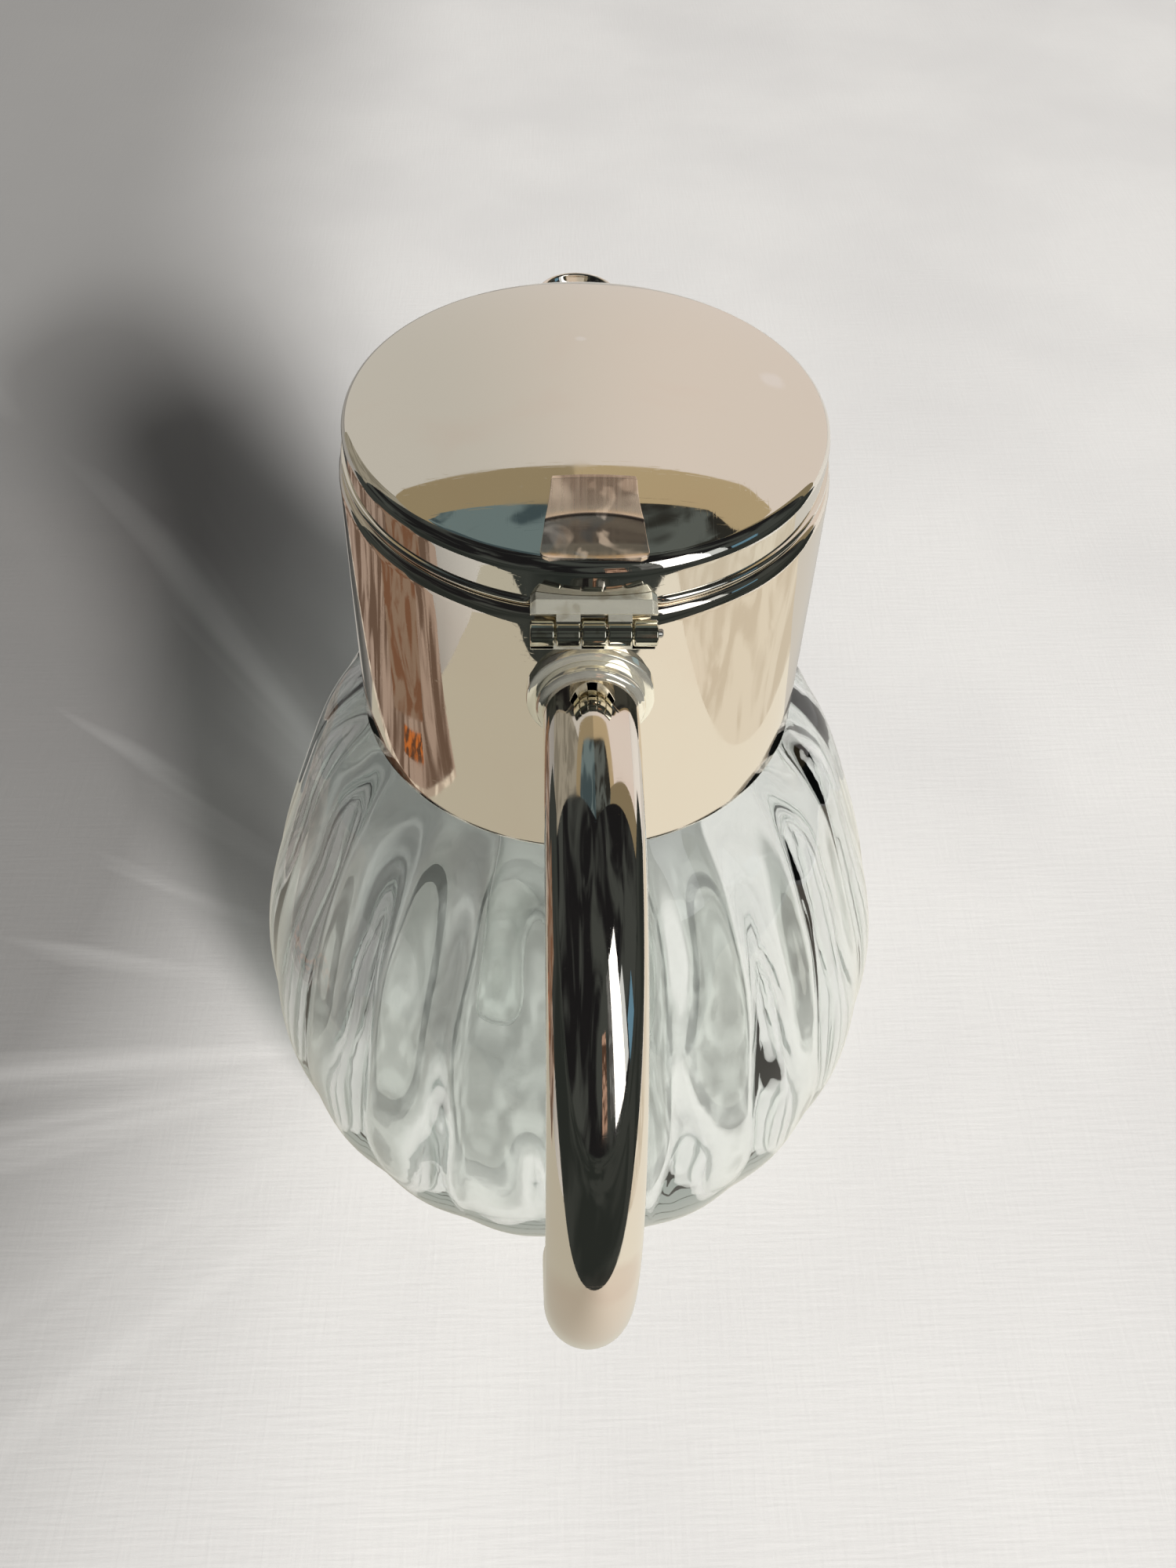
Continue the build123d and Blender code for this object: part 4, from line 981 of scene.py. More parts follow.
@dataclass
class Handle:
    """The bent tube with its flange and ferrule on the collar and a domed end."""

    collar: Collar
    height: float = 204.4
    radius: float = 8.8
    straight_end: float = 56.4
    bend: float = 73.67
    sweep: float = math.radians(138)
    flange: float = 11.9
    flange_thick: float = 1.3
    ferrule: float = 10.2
    ferrule_long: float = 3.0
    gap: float = 0.05
    segments: int = 96
    bend_rows: int = 150

    def face(self) -> float:
        """Distance from the jug's axis to the flange's front."""
        return float(self.collar.radius(self.height)) + self.flange_thick

    def saddle(self, row: Grid, gap: float) -> None:
        """Lay a row of points on the collar: y = -sqrt((R(z) + gap)^2 - x^2)."""
        row[..., 1] = -np.sqrt((self.collar.radius(row[..., 2]) + gap) ** 2 - row[..., 0] ** 2)

    def ring(self, outline: Grid, columns: int = 128) -> Grid:
        """Turn an outline of radius and distance round the handle's root axis along -Y.

        Args:
            outline: Radius and distance of each point.
            columns: Number of points round the axis.

        Returns:
            Points as a grid.
        """
        angle, radius, away = angles(columns)[None, :], outline[:, :1], outline[:, 1:]
        return np.stack([radius * np.cos(angle), -away + 0 * angle,
                         self.height + radius * np.sin(angle)], axis=-1)

    def tube(self) -> Piece:
        """Circle C(s) + r cos a X + r sin a N(s): straight from the saddle, then the bend.

        Returns:
            The tube.
        """
        turned = np.linspace(0, self.sweep, self.bend_rows)
        centre = np.stack([0 * turned, -self.straight_end - self.bend * np.sin(turned),
                           self.height - self.bend + self.bend * np.cos(turned)], axis=1)
        out = np.stack([0 * turned, -np.sin(turned), np.cos(turned)], axis=1)
        angle = angles(self.segments)[None, :, None]
        across = np.array([1.0, 0, 0])
        loops = centre[:, None] + self.radius * (np.cos(angle) * across + np.sin(angle) * out[:, None])
        root = loops[0].copy()
        self.saddle(root, self.gap)
        shell = skin(np.concatenate([[root], [(root + loops[0]) / 2], loops]), caps=True)
        return make_piece("bent_handle_tube", [shell], "jug", crease=50)

    def cap(self) -> Piece:
        """Half a ball on the tube's end: r cos b across and r sin b along, with a flat back.

        Returns:
            The domed end.
        """
        tilt = np.linspace(0, math.pi / 2, 28)
        wide = np.concatenate([[0.0, 0.97], np.cos(tilt)])[:, None, None] * self.radius
        along = np.concatenate([[0.0, 0.0], np.maximum(np.sin(tilt), 0.004)])[:, None, None]
        angle = angles(self.segments)[None, :, None]
        s, c = math.sin(self.sweep), math.cos(self.sweep)
        end = np.array([0, -self.straight_end - self.bend * s, self.height - self.bend * (1 - c)])
        path, out = np.array([0, -c, -s]), np.array([0, -s, c])
        ring = np.cos(angle) * np.array([1.0, 0, 0]) + np.sin(angle) * out
        grid = end + wide * ring + (self.gap + along * self.radius) * path
        return make_piece("domed_handle_end", [skin(grid)], "jug", crease=50)

    def base(self) -> Piece:
        """The flange: a thin disc with a soft edge, its back laid on the collar's curve.

        Returns:
            The flange.
        """
        front, bore = self.face(), self.radius + self.gap
        edge = rounded([(bore, front - 1, 0.01), (self.flange, front - 1, 0.01),
                        (self.flange, front, 0.5), (bore, front, 0.01)])
        grid = self.ring(np.vstack([[(bore, 0), (self.flange, 0)], edge[12:]]))
        self.saddle(grid[:2], CLEAR)
        shell = skin(grid, close_rows=True)
        return make_piece("handle_base_plate", [shell], "jug", crease=40, bevel=0.12)

    def collar_ring(self) -> Piece:
        """The ferrule: a short ring, wide at the flange and drawn in to the tube in a round.

        Returns:
            The ferrule.
        """
        back, bore = self.face() + self.gap, self.radius + self.gap
        front = back + self.ferrule_long
        outline = rounded([(bore, back, 0.05), (self.ferrule, back, 0.12),
                           (self.ferrule - 0.1, front, 1.35), (bore, front, 0.1)])
        shell = skin(self.ring(outline), close_rows=True)
        return make_piece("handle_ring", [shell], "jug", crease=50)

    def build(self) -> list[Piece]:
        """All four pieces, each in place of its node.

        Returns:
            Tube, domed end, flange and ferrule.
        """
        made = [self.tube(), self.cap(), self.base(), self.collar_ring()]
        nodes = ("handle_tube", "handle_end_cap", "handle_flange", "handle_ferrule")
        for piece, node in zip(made, nodes):
            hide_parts(node)
        return made

    def dress(self, made: Sequence[Piece]) -> None:
        """Handled plate worn on the bend, paler plate on the rings, brass on the fixing inside.

        Args:
            made: The pieces as build gives them.
        """
        plate = SilverPlate("handle_plate", Polish.HANDLED, wear=0.55, sway_depth=0.012,
                            wear_and_glint_tone=(0.80, 0.66, 0.58),
                            marks=((0.0, -139.0, 132.0, 15.0), (4.0, -137.0, 146.0, 7.0))).material()
        ring = SilverPlate("ring_plate", Polish.HANDLED, tint=(0.93, 0.90, 0.78), scratch_depth=0.0,
                           sway_depth=0.004, metal=0.86).material()
        for piece, finish in zip(made, (plate, plate, ring, ring)):
            dress(piece, finish)
        brass = PlainMetal("fixing_brass", (0.78, 0.60, 0.32), (0.55, 0.40, 0.20)).material()
        for node in ("handle_stud", "handle_washer", "handle_nut"):
            dress_node(node, brass)


@dataclass
class Lid:
    """The shallow domed lid with its band, bead and thumb rest."""

    radius: float = 47.0
    bottom: float = 224.2
    band_top: float = 231.0
    fillet: float = 3.0
    dome: float = 154.0
    sheet: float = 1.0
    bead: float = 0.75
    notch: float = 11.4
    segments: int = 300
    thumb_half: float = 9.7
    thumb_front: float = -45.3
    thumb_low: float = 234.2
    crease: tuple[float, float] = (-39.2, 237.5)
    crest: tuple[float, float] = (-33.4, 241.8)

    def arcs(self, inset: float) -> Grid:
        """Dome and fillet from the apex to the band, drawn in by an inset.

        Args:
            inset: How far inside the outer surface the line runs.

        Returns:
            Radius and height of each point.
        """
        hub = self.radius - self.fillet
        edge = math.asin(hub / (self.dome - self.fillet))
        sphere = self.band_top + (self.fillet - self.dome) * math.cos(edge)
        over, down = np.linspace(0, edge, 64), np.linspace(edge, math.pi / 2, 14)[1:]
        big, small = self.dome - inset, self.fillet - inset
        dome = np.stack([big * np.sin(over), sphere + big * np.cos(over)], axis=1)
        turned = np.stack([hub + small * np.sin(down), self.band_top + small * np.cos(down)], axis=1)
        return np.vstack([dome, turned])

    def dome_height(self, radius: Grid) -> Grid:
        """Height of the outside at a radius, dome and fillet together."""
        line = self.arcs(0.0)
        return np.interp(radius, line[:, 0], line[:, 1])

    def shell(self) -> Piece:
        """Turn the section; the bead's bulge fades out where the hinge leaf sits.

        Returns:
            The lid's shell.
        """
        turned = np.linspace(math.pi / 2, -math.pi / 2, 12)
        bead = np.stack([self.radius + self.bead * np.cos(turned),
                         self.bottom + self.bead * (1 + np.sin(turned))], axis=1)
        wall = np.linspace(self.band_top - 0.6, self.bottom + 2 * self.bead + 0.15, 6)
        inner = self.radius - self.sheet
        profile = np.vstack([self.arcs(0.0), np.stack([np.full_like(wall, self.radius), wall], 1), bead,
                             [(inner, self.bottom)], [(inner, self.bottom + 3)],
                             self.arcs(self.sheet)[::-1]])

        def bulge(radius: Grid, height: Grid, angle: Grid) -> Grid:
            """Takes the bead's excess radius away inside the notch."""
            across = np.where(np.cos(angle) > 0, np.abs(self.radius * np.sin(angle)), self.radius)
            return -np.maximum(radius - self.radius, 0) * np.clip(self.notch + 0.5 - across, 0, 1)

        piece = make_piece("domed_lid", [skin(turn(profile, self.segments, bulge))], "lid",
                           crease=50)
        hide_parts("lid_shell")
        return piece

    def thumb(self) -> Piece:
        """A height field over the rest's plan: two hollow facets that meet in an arched crease.

        Across runs s from -1 to 1. The crease lies at y = c + 1.2 (1 - s^2); each facet is
        (1-t)^2 A + 2t(1-t) M + t^2 B with M sunk below the middle of A and B.

        Returns:
            The thumb rest.
        """
        s = np.linspace(-1, 1, 41)[None, :]
        arch = 1 - s ** 2
        front = np.stack([self.thumb_front + 0 * s, self.thumb_low - 0.25 * arch], axis=-1)
        crease = np.stack([self.crease[0] + 1.2 * arch, self.crease[1] + 0.35 * arch], axis=-1)
        top = np.stack([self.crest[0] + 0.15 * arch, self.crest[1] - 0.25 * (1 - arch)], axis=-1)

        def facet(a: Grid, b: Grid, sink: float) -> Grid:
            """Rows of a hollow facet between two lines of points.

            Args:
                a: The lower line.
                b: The upper line.
                sink: How far the middle is sunk.

            Returns:
                Points as a grid.
            """
            t = np.linspace(0, 1, 16)[:, None, None]
            middle = (a + b) / 2 + np.array([sink * 0.5, -sink])
            return (1 - t) ** 2 * a + 2 * t * (1 - t) * middle + t ** 2 * b

        back = np.stack([top[..., 0] + 0.9, top[..., 1]], axis=-1)
        low = np.stack([back[..., 0] + 2.2, 239.2 + 0 * s], axis=-1)
        rows = np.concatenate([facet(front, crease, 1.3), facet(crease, top, 1.7)[1:], back, low])
        y, z = rows[..., 0], rows[..., 1]
        near = np.clip((y - self.thumb_front) / 1.9, 0, 1)
        narrow = 2.3 * np.clip((y - self.thumb_front) / 11.9, 0, 1.4)
        x = s * (self.thumb_half - narrow - 1.9 * (1 - np.sqrt(1 - (1 - near) ** 2)))
        foot = np.minimum(self.dome_height(np.hypot(x, y)) + CLEAR, z - 0.2)
        over, under = np.stack([x, y, z], axis=-1), np.stack([x, y, foot], axis=-1)[:, ::-1]
        shell = skin(np.concatenate([over, under], axis=1), caps=True)
        piece = make_piece("thumb_lift", [shell], "lid", crease=20, bevel=0.3)
        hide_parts("thumb_rest")
        return piece

    def build(self) -> tuple[Piece, Piece]:
        """The lid's shell and its thumb rest."""
        return self.shell(), self.thumb()

    def dress(self, shell: Piece, thumb: Piece) -> None:
        """Mirror plate with worn patches on the dome and a painted lamp reflection, brushed bronze on the
        rest.

        Args:
            shell: The lid's shell.
            thumb: The thumb rest.
        """
        # The pale spot at x = 36 mm on the dome's right is a painted reflection of a ceiling lamp.
        dress(shell, SilverPlate("lid_plate", tint=(0.91, 0.865, 0.775), wear=0.3, sway_depth=0.01,
                                 wear_and_glint_tone=(1.0, 0.99, 0.97),
                                 marks=((36.0, 5.1, 236.2, 3.4), (-1.1, 12.8, 240.0, 1.8))).material())
        dress(thumb, BrushedBronze("thumb_bronze").material())


@dataclass
class Hinge:
    """The five-knuckle hinge between the collar's shoulder and the lid's band."""

    collar: Collar
    pin_y: float = -51.3
    pin_z: float = 222.4
    knuckle: float = 2.3
    pitch: float = 4.5
    gap: float = 0.3
    count: int = 5
    half: float = 11.1
    lip_y: float = -48.0
    top_z: float = 227.2
    band: float = 47.0
    chin: tuple[float, float] = (-49.143, 224.557)
    nose: tuple[float, float] = (-49.85, 225.557)
    strap: tuple[float, float] = (217.2, 219.7)
    seat_height: float = 218.5
    pin_radius: float = 0.8
    pin_end: float = 12.05

    def knuckles(self, first: int, web: Sequence[tuple[float, float]]) -> list[Shell]:
        """Every second knuckle, a circle carried along X, with the web that holds it.

        Args:
            first: Index of the first one, counted from the left.
            web: Y and Z of the web's outline.

        Returns:
            A barrel and a web for each knuckle.
        """
        made = []
        for index in range(first, self.count, 2):
            start = (index - self.count / 2) * self.pitch + self.gap / 2
            span = (start, start + self.pitch - self.gap)
            made += [along_x(circle(self.knuckle, self.pin_y, self.pin_z), *span, soft=0.22),
                     along_x(np.array(web), *span)]
        return made

    @staticmethod
    def strip(x: Grid, corners: Sequence[tuple[Any, Any]]) -> Shell:
        """A closed bar along X whose YZ corners may vary with X."""
        return skin(np.stack([np.stack([x, y + 0 * x, z + 0 * x], 1) for y, z in corners], 1), caps=True)

    def fixed(self) -> Piece:
        """First, third and fifth knuckle on a strap laid on the collar's curve.

        Returns:
            The collar's leaf.
        """
        face = self.pin_y + self.knuckle - 1.0
        low, high = self.strap
        x = np.linspace(-self.half, self.half, 25)
        back = -np.sqrt((self.collar.radius(self.seat_height) + CLEAR) ** 2 - x ** 2)
        web = [(face, low + 0.1), (face, self.pin_z), (face + 1.0, self.pin_z), (face + 1.0, low + 0.1)]
        shells = [self.strip(x, [(face, low), (face, high), (back, high), (back, low)]),
                  *self.knuckles(0, web)]
        piece = make_piece("fixed_hinge_leaf", shells, "jug", crease=35, bevel=0.1)
        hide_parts("hinge_collar_leaf")
        return piece

    def moving(self) -> Piece:
        """The sloping plate on the lid's band, its upper corners cut, with two knuckles.

        Returns:
            The lid's leaf.
        """
        bends = np.array([-self.half, 1 - self.half, self.half - 1, self.half])
        x = np.union1d(np.linspace(-self.half, self.half, 41), bends)
        top = self.top_z - np.interp(x, bends, [1.0, 0.0, 0.0, 1.0])
        seat = -np.sqrt((self.band + CLEAR) ** 2 - x ** 2)
        crown = self.pin_z + self.knuckle
        web = [self.nose, (self.pin_y, crown), (self.pin_y, crown - 1.15), self.chin]
        shells = [self.strip(x, [(seat, top), (self.lip_y, top), self.nose, self.chin,
                                 (seat, self.chin[1] + 0.45)]), *self.knuckles(1, web)]
        piece = make_piece("moving_hinge_leaf", shells, "lid", crease=35, bevel=0.1)
        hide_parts("hinge_lid_leaf")
        return piece

    def pin(self) -> Piece:
        """The pin, with a rounded end that stands a little proud on the right.

        Returns:
            The pin.
        """
        rod = circle(self.pin_radius, self.pin_y, self.pin_z, 32)
        shell = along_x(rod, -self.half, self.pin_end, soft=0.25)
        piece = make_piece("hinge_rod", [shell], "jug", crease=60)
        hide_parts("hinge_pin")
        return piece

    def build(self) -> tuple[Piece, Piece, Piece]:
        """Both leaves and the pin."""
        return self.fixed(), self.moving(), self.pin()

    def dress(self, fixed: Piece, moving: Piece, pin: Piece) -> None:
        """Plate on the leaves, drawn steel on the pin.

        Args:
            fixed: The collar's leaf.
            moving: The lid's leaf.
            pin: The pin.
        """
        shared = HingePlate("hinge_plate").material()
        dress(fixed, shared)
        dress(moving, shared)
        dress(pin, PlainMetal("drawn_pin", (0.62, 0.60, 0.56), (0.42, 0.40, 0.37)).material())


@dataclass
class IceInsert:
    """The glass ice tube that hangs in the pierced carrier."""

    radius: float = 20.0
    wall: float = 2.0
    bottom: float = 14.5
    foot_round: float = 11.0
    rim_radius: float = 22.6
    rim: tuple[float, float] = (216.55, 218.75)
    wall_foot: float = 27.0
    segments: int = 128

    def build(self) -> Piece:
        """Turn the tube's section: round bottom, straight wall and thick rolled rim.

        Returns:
            The ice tube.
        """
        low, high = self.rim
        steps = np.linspace(0, math.pi / 2, 20)
        hub, small = self.radius - self.foot_round, self.foot_round - self.wall
        outer_round = np.stack([hub + self.foot_round * np.sin(steps),
                                self.bottom + self.foot_round * (1 - np.cos(steps))], axis=1)
        inner_round = np.stack([hub + small * np.sin(steps),
                                self.bottom + self.wall + small * (1 - np.cos(steps))], axis=1)
        lip = rounded([(self.radius - 0.2, low, 0.05), (self.rim_radius, low, 0.5),
                       (self.rim_radius, high, 1.05), (self.radius - self.wall, high, 0.9)])
        upright = np.array([(self.radius, self.wall_foot), (self.radius, low - 1.0)])
        wall = refined(upright, 8.0, closed=False)
        profile = np.vstack([[(0, self.bottom)], outer_round, wall, lip[6:],
                             wall[::-1] - (self.wall, 0), inner_round[::-1],
                             [(0, self.bottom + self.wall)]])

        def drift(radius: Grid, height: Grid, angle: Grid) -> Grid:
            """Drawn tube: 0.06 sin(2a + h/25), gone at the rim and on the axis."""
            fade = np.clip((low - 6 - height) / 20, 0, 1) * np.clip(radius / 9, 0, 1)
            return fade * 0.06 * np.sin(2 * angle + height / 25)

        piece = make_piece("hanging_ice_tube", [skin(turn(profile, self.segments, drift))],
                           "ice_insert", crease=50)
        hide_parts("ice_tube")
        return piece

    def dress(self, piece: Piece) -> None:
        """Clear drawn glass."""
        dress(piece, BlownGlass("tube_glass_clear", depth_tint=(0.75, 0.90, 0.84),
                                density=2.0, sway_depth=0.004).material())


# The studio

@dataclass(frozen=True)
class Card:
    """A glowing card that lights nothing and shows in the polished metal and the glass.

    A sky card spans azimuths from -Y and elevations, in degrees, at a reach in metres. A low
    card lies just over the floor and spans X and Y in metres; its reach is its height.
    """

    name: str
    colour: Colour
    across: tuple[float, float]
    along: tuple[float, float]
    reach: float = 1.6
    other: Optional[Colour] = None
    stretch: Colour = (1.0, 1.0, 1.0)
    cells: float = 3.0
    fade: Optional[tuple[float, float]] = None


SKY_CARDS = (
    Card("room", (0.011, 0.011, 0.012), (-108, 104), (0, 90), 1.60, (0.052, 0.058, 0.055), cells=0.9),
    Card("room_top_left", (0.050, 0.075, 0.085), (-180, -108), (65.5, 90), 1.60, (0.14, 0.19, 0.20)),
    Card("room_top_right", (0.025, 0.025, 0.022), (104, 180), (65.5, 90), 1.60, (0.10, 0.115, 0.11)),
    Card("tan_back_left", (0.29, 0.235, 0.145), (-180, -108), (57.5, 65.5)),
    Card("tan_back_right", (0.44, 0.35, 0.215), (112, 180), (57.5, 65.5)),
    Card("tan_edge", (0.22, 0.18, 0.11), (104, 112), (-6, 65.5)),
    Card("wall_left", (0.30, 0.28, 0.23), (-134, -108), (-6, 57.5), 1.60, (0.20, 0.185, 0.15)),
    Card("window", (1.9, 1.95, 2.0), (31, 52), (3, 48), 1.30),
    Card("window_side", (0.62, 0.66, 0.68), (52, 60), (4, 30), 1.30),
    Card("window_veil", (0.17, 0.18, 0.18), (22, 31), (8, 46), 1.30, (0.09, 0.09, 0.09), cells=6.0),
    Card("blue_glint", (0.12, 0.24, 0.34), (62, 75), (-3, 12), 1.30),
    Card("warm_strip", (0.42, 0.27, 0.20), (7, 16), (7, 33), 1.30, (0.08, 0.045, 0.03), cells=8.0),
    Card("warm_side", (0.24, 0.17, 0.125), (-106, -84), (-33, -8), 0.25, (0.17, 0.085, 0.05), cells=42.0),
)
# Low cards hold painted reflections of the cloth round the jug, both lit and shaded.
LOW_CARDS = (
    Card("sheen_on_cloth", (0.47, 0.445, 0.37), (-0.23, 0.32), (-0.262, 0.11), 0.0015,
         (0.80, 0.765, 0.67), fade=(-0.05, 0.07)),
    Card("soft_cloth", (0.62, 0.56, 0.46), (0.20, 0.32), (-0.262, 0.11), 0.0022,
         (0.74, 0.69, 0.59), cells=14.0),
    Card("far_cloth", (0.45, 0.43, 0.39), (-0.12, 0.32), (0.11, 0.34), 0.0015,
         (0.62, 0.60, 0.56), fade=(0.02, 0.20)),
    # A painted reflection of the shaded cloth left of the jug, in brown stripes.
    Card("shaded_floor_reflection", (0.36, 0.275, 0.225), (-0.36, -0.172), (-0.10, 0.27), 0.0025,
         (0.13, 0.085, 0.062), (0.22, 1.0, 1.0), 36.0),
    Card("pale_fold", (0.72, 0.64, 0.54), (-0.176, -0.171), (-0.10, 0.25), 0.0030,
         (0.40, 0.33, 0.27), (0.3, 1.0, 1.0), 60.0),
    Card("warm_fold", (0.50, 0.15, 0.035), (-0.202, -0.186), (-0.035, 0.012), 0.0035,
         (0.10, 0.05, 0.03), cells=110.0),
)
PALE_WALL = Card("pale_wall", (0.53, 0.51, 0.475), (-180, 180), (-6, 90), 5.0, (0.70, 0.63, 0.585),
                 fade=(-1.6, 1.4))
TABLE_EDGE = Card("table_edge", (0.022, 0.026, 0.024), (-112, 104), (0, 0), 0.0, (0.040, 0.045, 0.042))


@dataclass
class Studio:
    """Floor, lights and the cards that the polished metal reflects."""

    centre: tuple[float, float, float] = (0.0, -0.02, 0.14)
    wall_foot: tuple[float, float] = (0.34, 0.262)
    wall_reach: float = 1.6
    droop: float = 9.0
    droop_at: float = 61.0
    droop_half: float = 29.0
    floor_half: float = 4.0
    air_tint: Colour = (0.95, 0.97, 1.0)
    air_strength: float = 0.09
    lamp_reach: float = 12.0
    lamp_tint: Colour = (1.0, 0.985, 0.96)
    through_glass: Colour = (0.33, 0.345, 0.325)

    def put(self, name: str, points: Grid, finish: Finish) -> Piece:
        """Put a grid of points into the scene as part of the stage.

        Args:
            name: Name of the sheet.
            points: Places as a grid.
            finish: Its material.

        Returns:
            The sheet.
        """
        rows, cols = points.shape[:2]
        index = np.arange(rows * cols).reshape(rows, cols)
        quads = np.stack([index[:-1, :-1], index[1:, :-1], index[1:, 1:], index[:-1, 1:]], axis=-1)
        mesh = bpy.data.meshes.new(name)
        mesh.from_pydata(points.reshape(-1, 3).tolist(), [], quads.reshape(-1, 4).tolist())
        mesh.materials.append(finish)
        sheet = bpy.data.objects.new(name, mesh)
        bpy.context.scene.collection.objects.link(sheet)
        return sheet

    @staticmethod
    def flat(across: tuple[float, float], along: tuple[float, float], height: float) -> Grid:
        """A level rectangle from its X and Y limits."""
        x, y = np.meshgrid(across, along, indexing="ij")
        return np.stack([x, y, 0 * x + height], axis=-1)

    def lamp(self, name: str, azimuth: float, elevation: float, size: float, power: float) -> None:
        """A soft round light far away that metal and glass don't show.

        Args:
            name: Name of the light.
            azimuth: Degrees from -Y towards +X.
            elevation: Degrees above the floor.
            size: Width in metres.
            power: Watts.
        """
        lamp = bpy.data.lights.new(name, "AREA")
        lamp.shape, lamp.size, lamp.energy, lamp.color = "DISK", size, power, self.lamp_tint
        a, e = math.radians(azimuth), math.radians(elevation)
        away = Vector((math.sin(a) * math.cos(e), -math.cos(a) * math.cos(e), math.sin(e)))
        stand = bpy.data.objects.new(name, lamp)
        stand.location = Vector(self.centre) + away * self.lamp_reach
        stand.rotation_euler = away.to_track_quat("Z", "Y").to_euler()
        stand.visible_camera = stand.visible_glossy = stand.visible_transmission = False
        bpy.context.scene.collection.objects.link(stand)

    def hang(self, card: Card, points: Grid, shown: bool = False) -> None:
        """Hang a card that lights nothing.

        Args:
            card: The card.
            points: Places as a grid.
            shown: True if the camera, and rays through the glass, see it as it is.
        """
        sheet = self.put(card.name, points, self.glow(card, shown))
        sheet.visible_camera = sheet.visible_transmission = shown
        sheet.visible_diffuse = sheet.visible_shadow = False

    def glow(self, card: Card, shown: bool) -> Finish:
        """A card's glow, mottled or faded with its other colour if it has one.

        Args:
            card: The card.
            shown: False to give it a plain colour for light that has passed through the glass.

        Returns:
            The material.
        """
        graph = Graph(card.name)
        paint: Any = (*card.colour, 1.0)
        if card.fade is not None:
            paint = graph.blend(graph.spread(graph.along("X"), *card.fade), card.colour, card.other)
        elif card.other is not None:
            mottle = graph.noise(card.cells, 3.0, stretch=card.stretch, warp=1.2)
            paint = graph.blend(graph.spread(mottle, 0.42, 0.58), card.colour, card.other)
        if not shown:
            passed = graph.node("LightPath", {}, "Transmission Depth")
            paint = paint[:3] if isinstance(paint, tuple) else paint
            paint = graph.blend(graph.spread(passed, 0.0, 1.0), paint, self.through_glass)
        return graph.finish(graph.node("Emission", {"Color": paint, "Strength": 1.0}))

    def sky(self, card: Card) -> Grid:
        """Centre + reach (sin a cos e, -cos a cos e, sin e) over azimuths a and elevations e.

        Behind the carafe the elevations near droop_at sink away from the middle, as the top edge
        of a straight backdrop does.

        Args:
            card: The card.

        Returns:
            Points as a grid.
        """
        turned = np.linspace(*card.across, 41)[:, None]
        raised = np.linspace(*card.along, 31)[None, :]
        side = np.clip((180 - np.abs(turned)) / 38, 0, 1) ** 2 * np.clip((np.abs(turned) - 90) / 20, 0, 1)
        near = np.clip(1 - np.abs(raised - self.droop_at) / self.droop_half, 0, 1)
        raised = raised - self.droop * side * near
        a, e = np.radians(turned), np.radians(raised)
        way = np.stack([np.sin(a) * np.cos(e), -np.cos(a) * np.cos(e), np.sin(e) + 0 * a], axis=-1)
        return np.array(self.centre) + card.reach * way

    def dark_wall(self, card: Card) -> Grid:
        """From the cloth's edge, x = w sin a^(1/2) and y = -d cos a^(1/2), up and out to the sky.

        Args:
            card: The card.

        Returns:
            Points as a grid.
        """
        a = np.radians(np.linspace(*card.across, 61))[:, None]
        rise = np.array([0.001, 0.05, 0.10, 0.12])[None, :]
        wide, deep = self.wall_foot
        x = wide * np.sign(np.sin(a)) * np.sqrt(np.abs(np.sin(a)))
        y = -deep * np.sign(np.cos(a)) * np.sqrt(np.abs(np.cos(a)))
        near = np.stack([x + 0 * rise, y + 0 * rise, rise + 0 * a], axis=-1)
        level = np.stack([np.sin(a), -np.cos(a), 0.012 + 0 * a], axis=-1)
        far = np.array(self.centre) + self.wall_reach * level
        return np.concatenate([near, far], axis=1)

    def air(self) -> None:
        """A dim pale world for the floor, and a pale wall all round that everything else sees."""
        world = bpy.data.worlds.new("pale_room")
        bpy.context.scene.world = world
        world.use_nodes = True
        air = world.node_tree.nodes["Background"].inputs
        air["Color"].default_value = (*self.air_tint, 1.0)
        air["Strength"].default_value = self.air_strength
        self.hang(PALE_WALL, self.sky(PALE_WALL), shown=True)

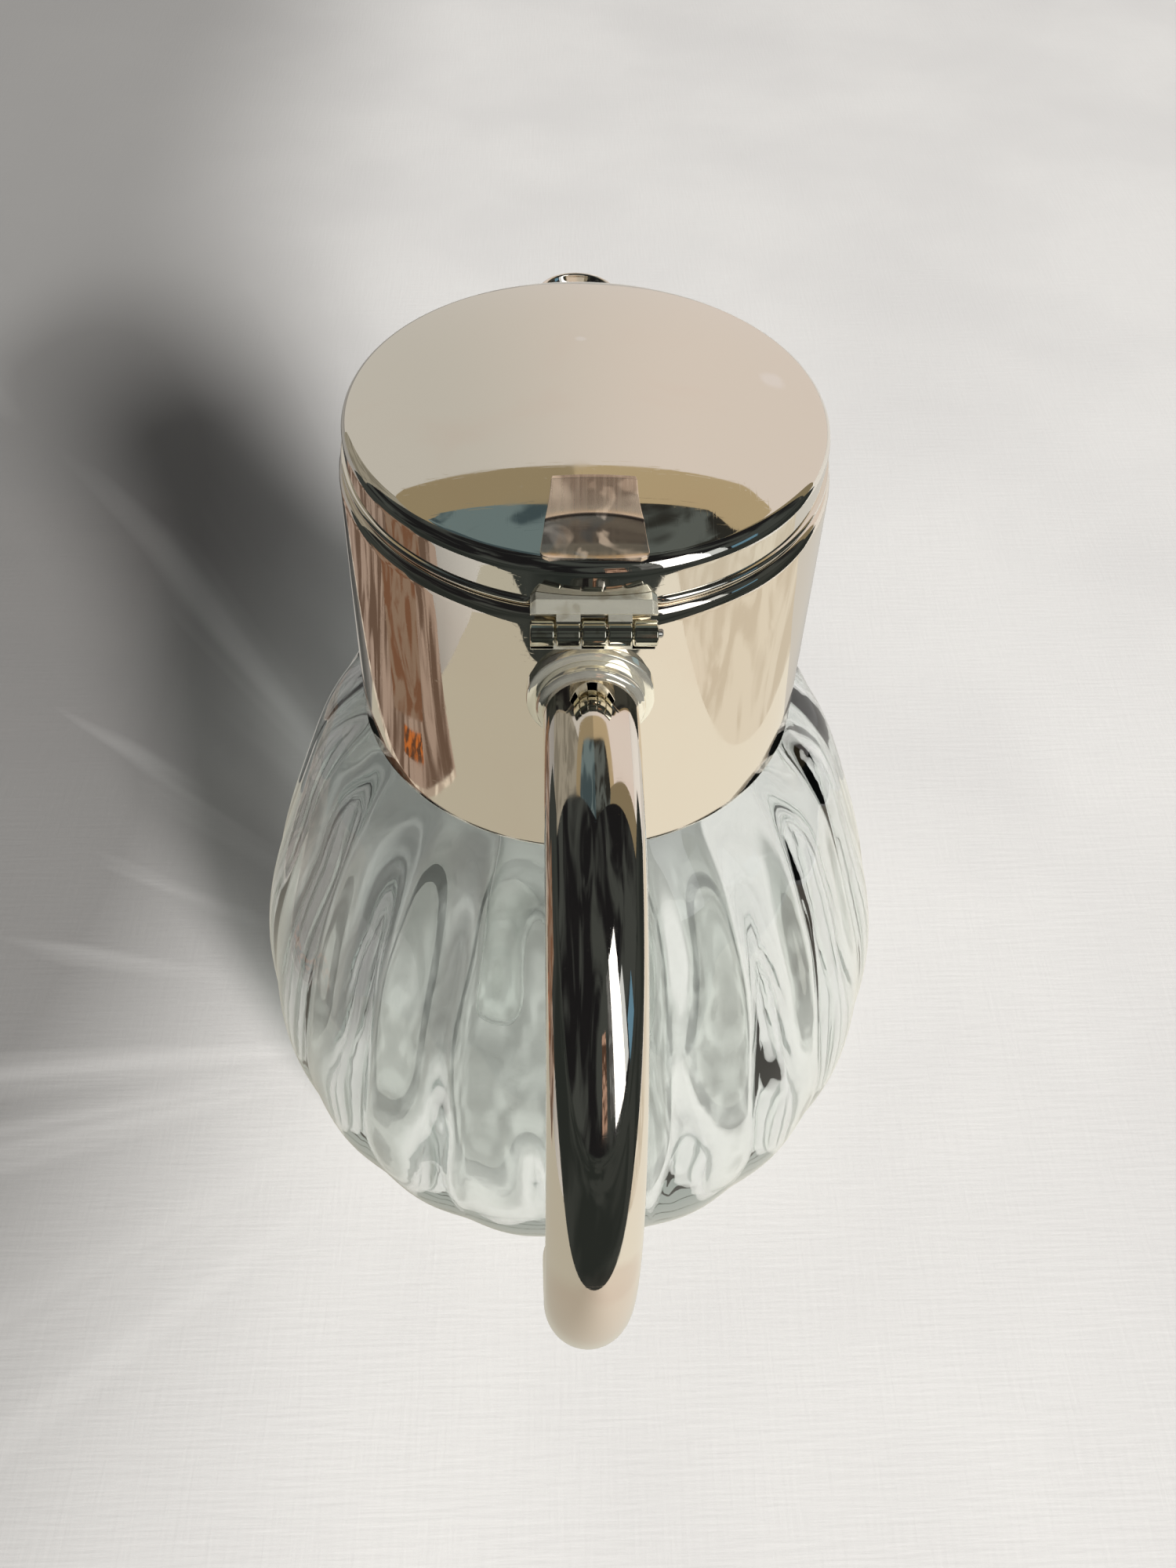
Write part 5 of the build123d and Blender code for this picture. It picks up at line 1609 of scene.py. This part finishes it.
    def build(self) -> None:
        """Set up floor, world, light and cards."""
        span = (-self.floor_half, self.floor_half)
        self.put("floor_cloth", self.flat(span, span, 0.0), FloorCloth("pale_cloth").material())
        self.air()
        self.lamp("key", 29.0, 31, 2.2, 1850.0)
        self.lamp("second_key", 30.0, 20, 4.4, 1100.0)
        for card in SKY_CARDS:
            self.hang(card, self.sky(card))
        for card in LOW_CARDS:
            self.hang(card, self.flat(card.across, card.along, card.reach))
        self.hang(TABLE_EDGE, self.dark_wall(TABLE_EDGE))
        scene = bpy.context.scene
        scene.view_settings.view_transform = "Standard"
        scene.view_settings.exposure = 0.0
        scene.cycles.max_bounces = 14
        scene.cycles.glossy_bounces = 9
        scene.cycles.diffuse_bounces = 2


@dataclass
class PhotoCamera:
    """The camera that was worked out from the photograph's perspective."""

    place: tuple[float, float, float] = (-0.01096, -0.2201, 0.3821)
    turned: float = math.radians(3.77)
    down: float = math.radians(49.81)
    rolled: float = math.radians(2.65)
    lens: float = 30.6

    def build(self) -> None:
        """Right and up vectors are turned by the roll about the line of sight."""
        ahead = Vector((math.sin(self.turned) * math.cos(self.down),
                        math.cos(self.turned) * math.cos(self.down), -math.sin(self.down)))
        level = Vector((math.cos(self.turned), -math.sin(self.turned), 0.0))
        above = level.cross(ahead)
        right = math.cos(self.rolled) * level + math.sin(self.rolled) * above
        up = -math.sin(self.rolled) * level + math.cos(self.rolled) * above
        data = bpy.data.cameras.new("photo_camera")
        data.lens = self.lens
        data.sensor_width = 36.0
        data.sensor_fit = "AUTO"
        data.clip_start = 0.01
        camera = bpy.data.objects.new("photo_camera", data)
        turned = Matrix((right, up, -ahead)).transposed().to_4x4()
        camera.matrix_world = Matrix.Translation(Vector(self.place)) @ turned
        bpy.context.scene.collection.objects.link(camera)
        bpy.context.scene.camera = camera


def main() -> None:
    """Build every sub-assembly in order."""
    logging.basicConfig(level=logging.INFO, format="%(message)s")
    PhotoCamera().build()
    Studio().build()
    jug, collar = GlassJug(), Collar()
    jug.dress(jug.build())
    collar.dress(collar.build())
    spout, handle = Spout(collar), Handle(collar)
    spout.dress(spout.build())
    handle.dress(handle.build())
    lid, hinge, insert = Lid(), Hinge(collar), IceInsert()
    lid.dress(*lid.build())
    hinge.dress(*hinge.build())
    insert.dress(insert.build())
    LOG.info("boxes written")


if __name__ == "__main__":
    main()
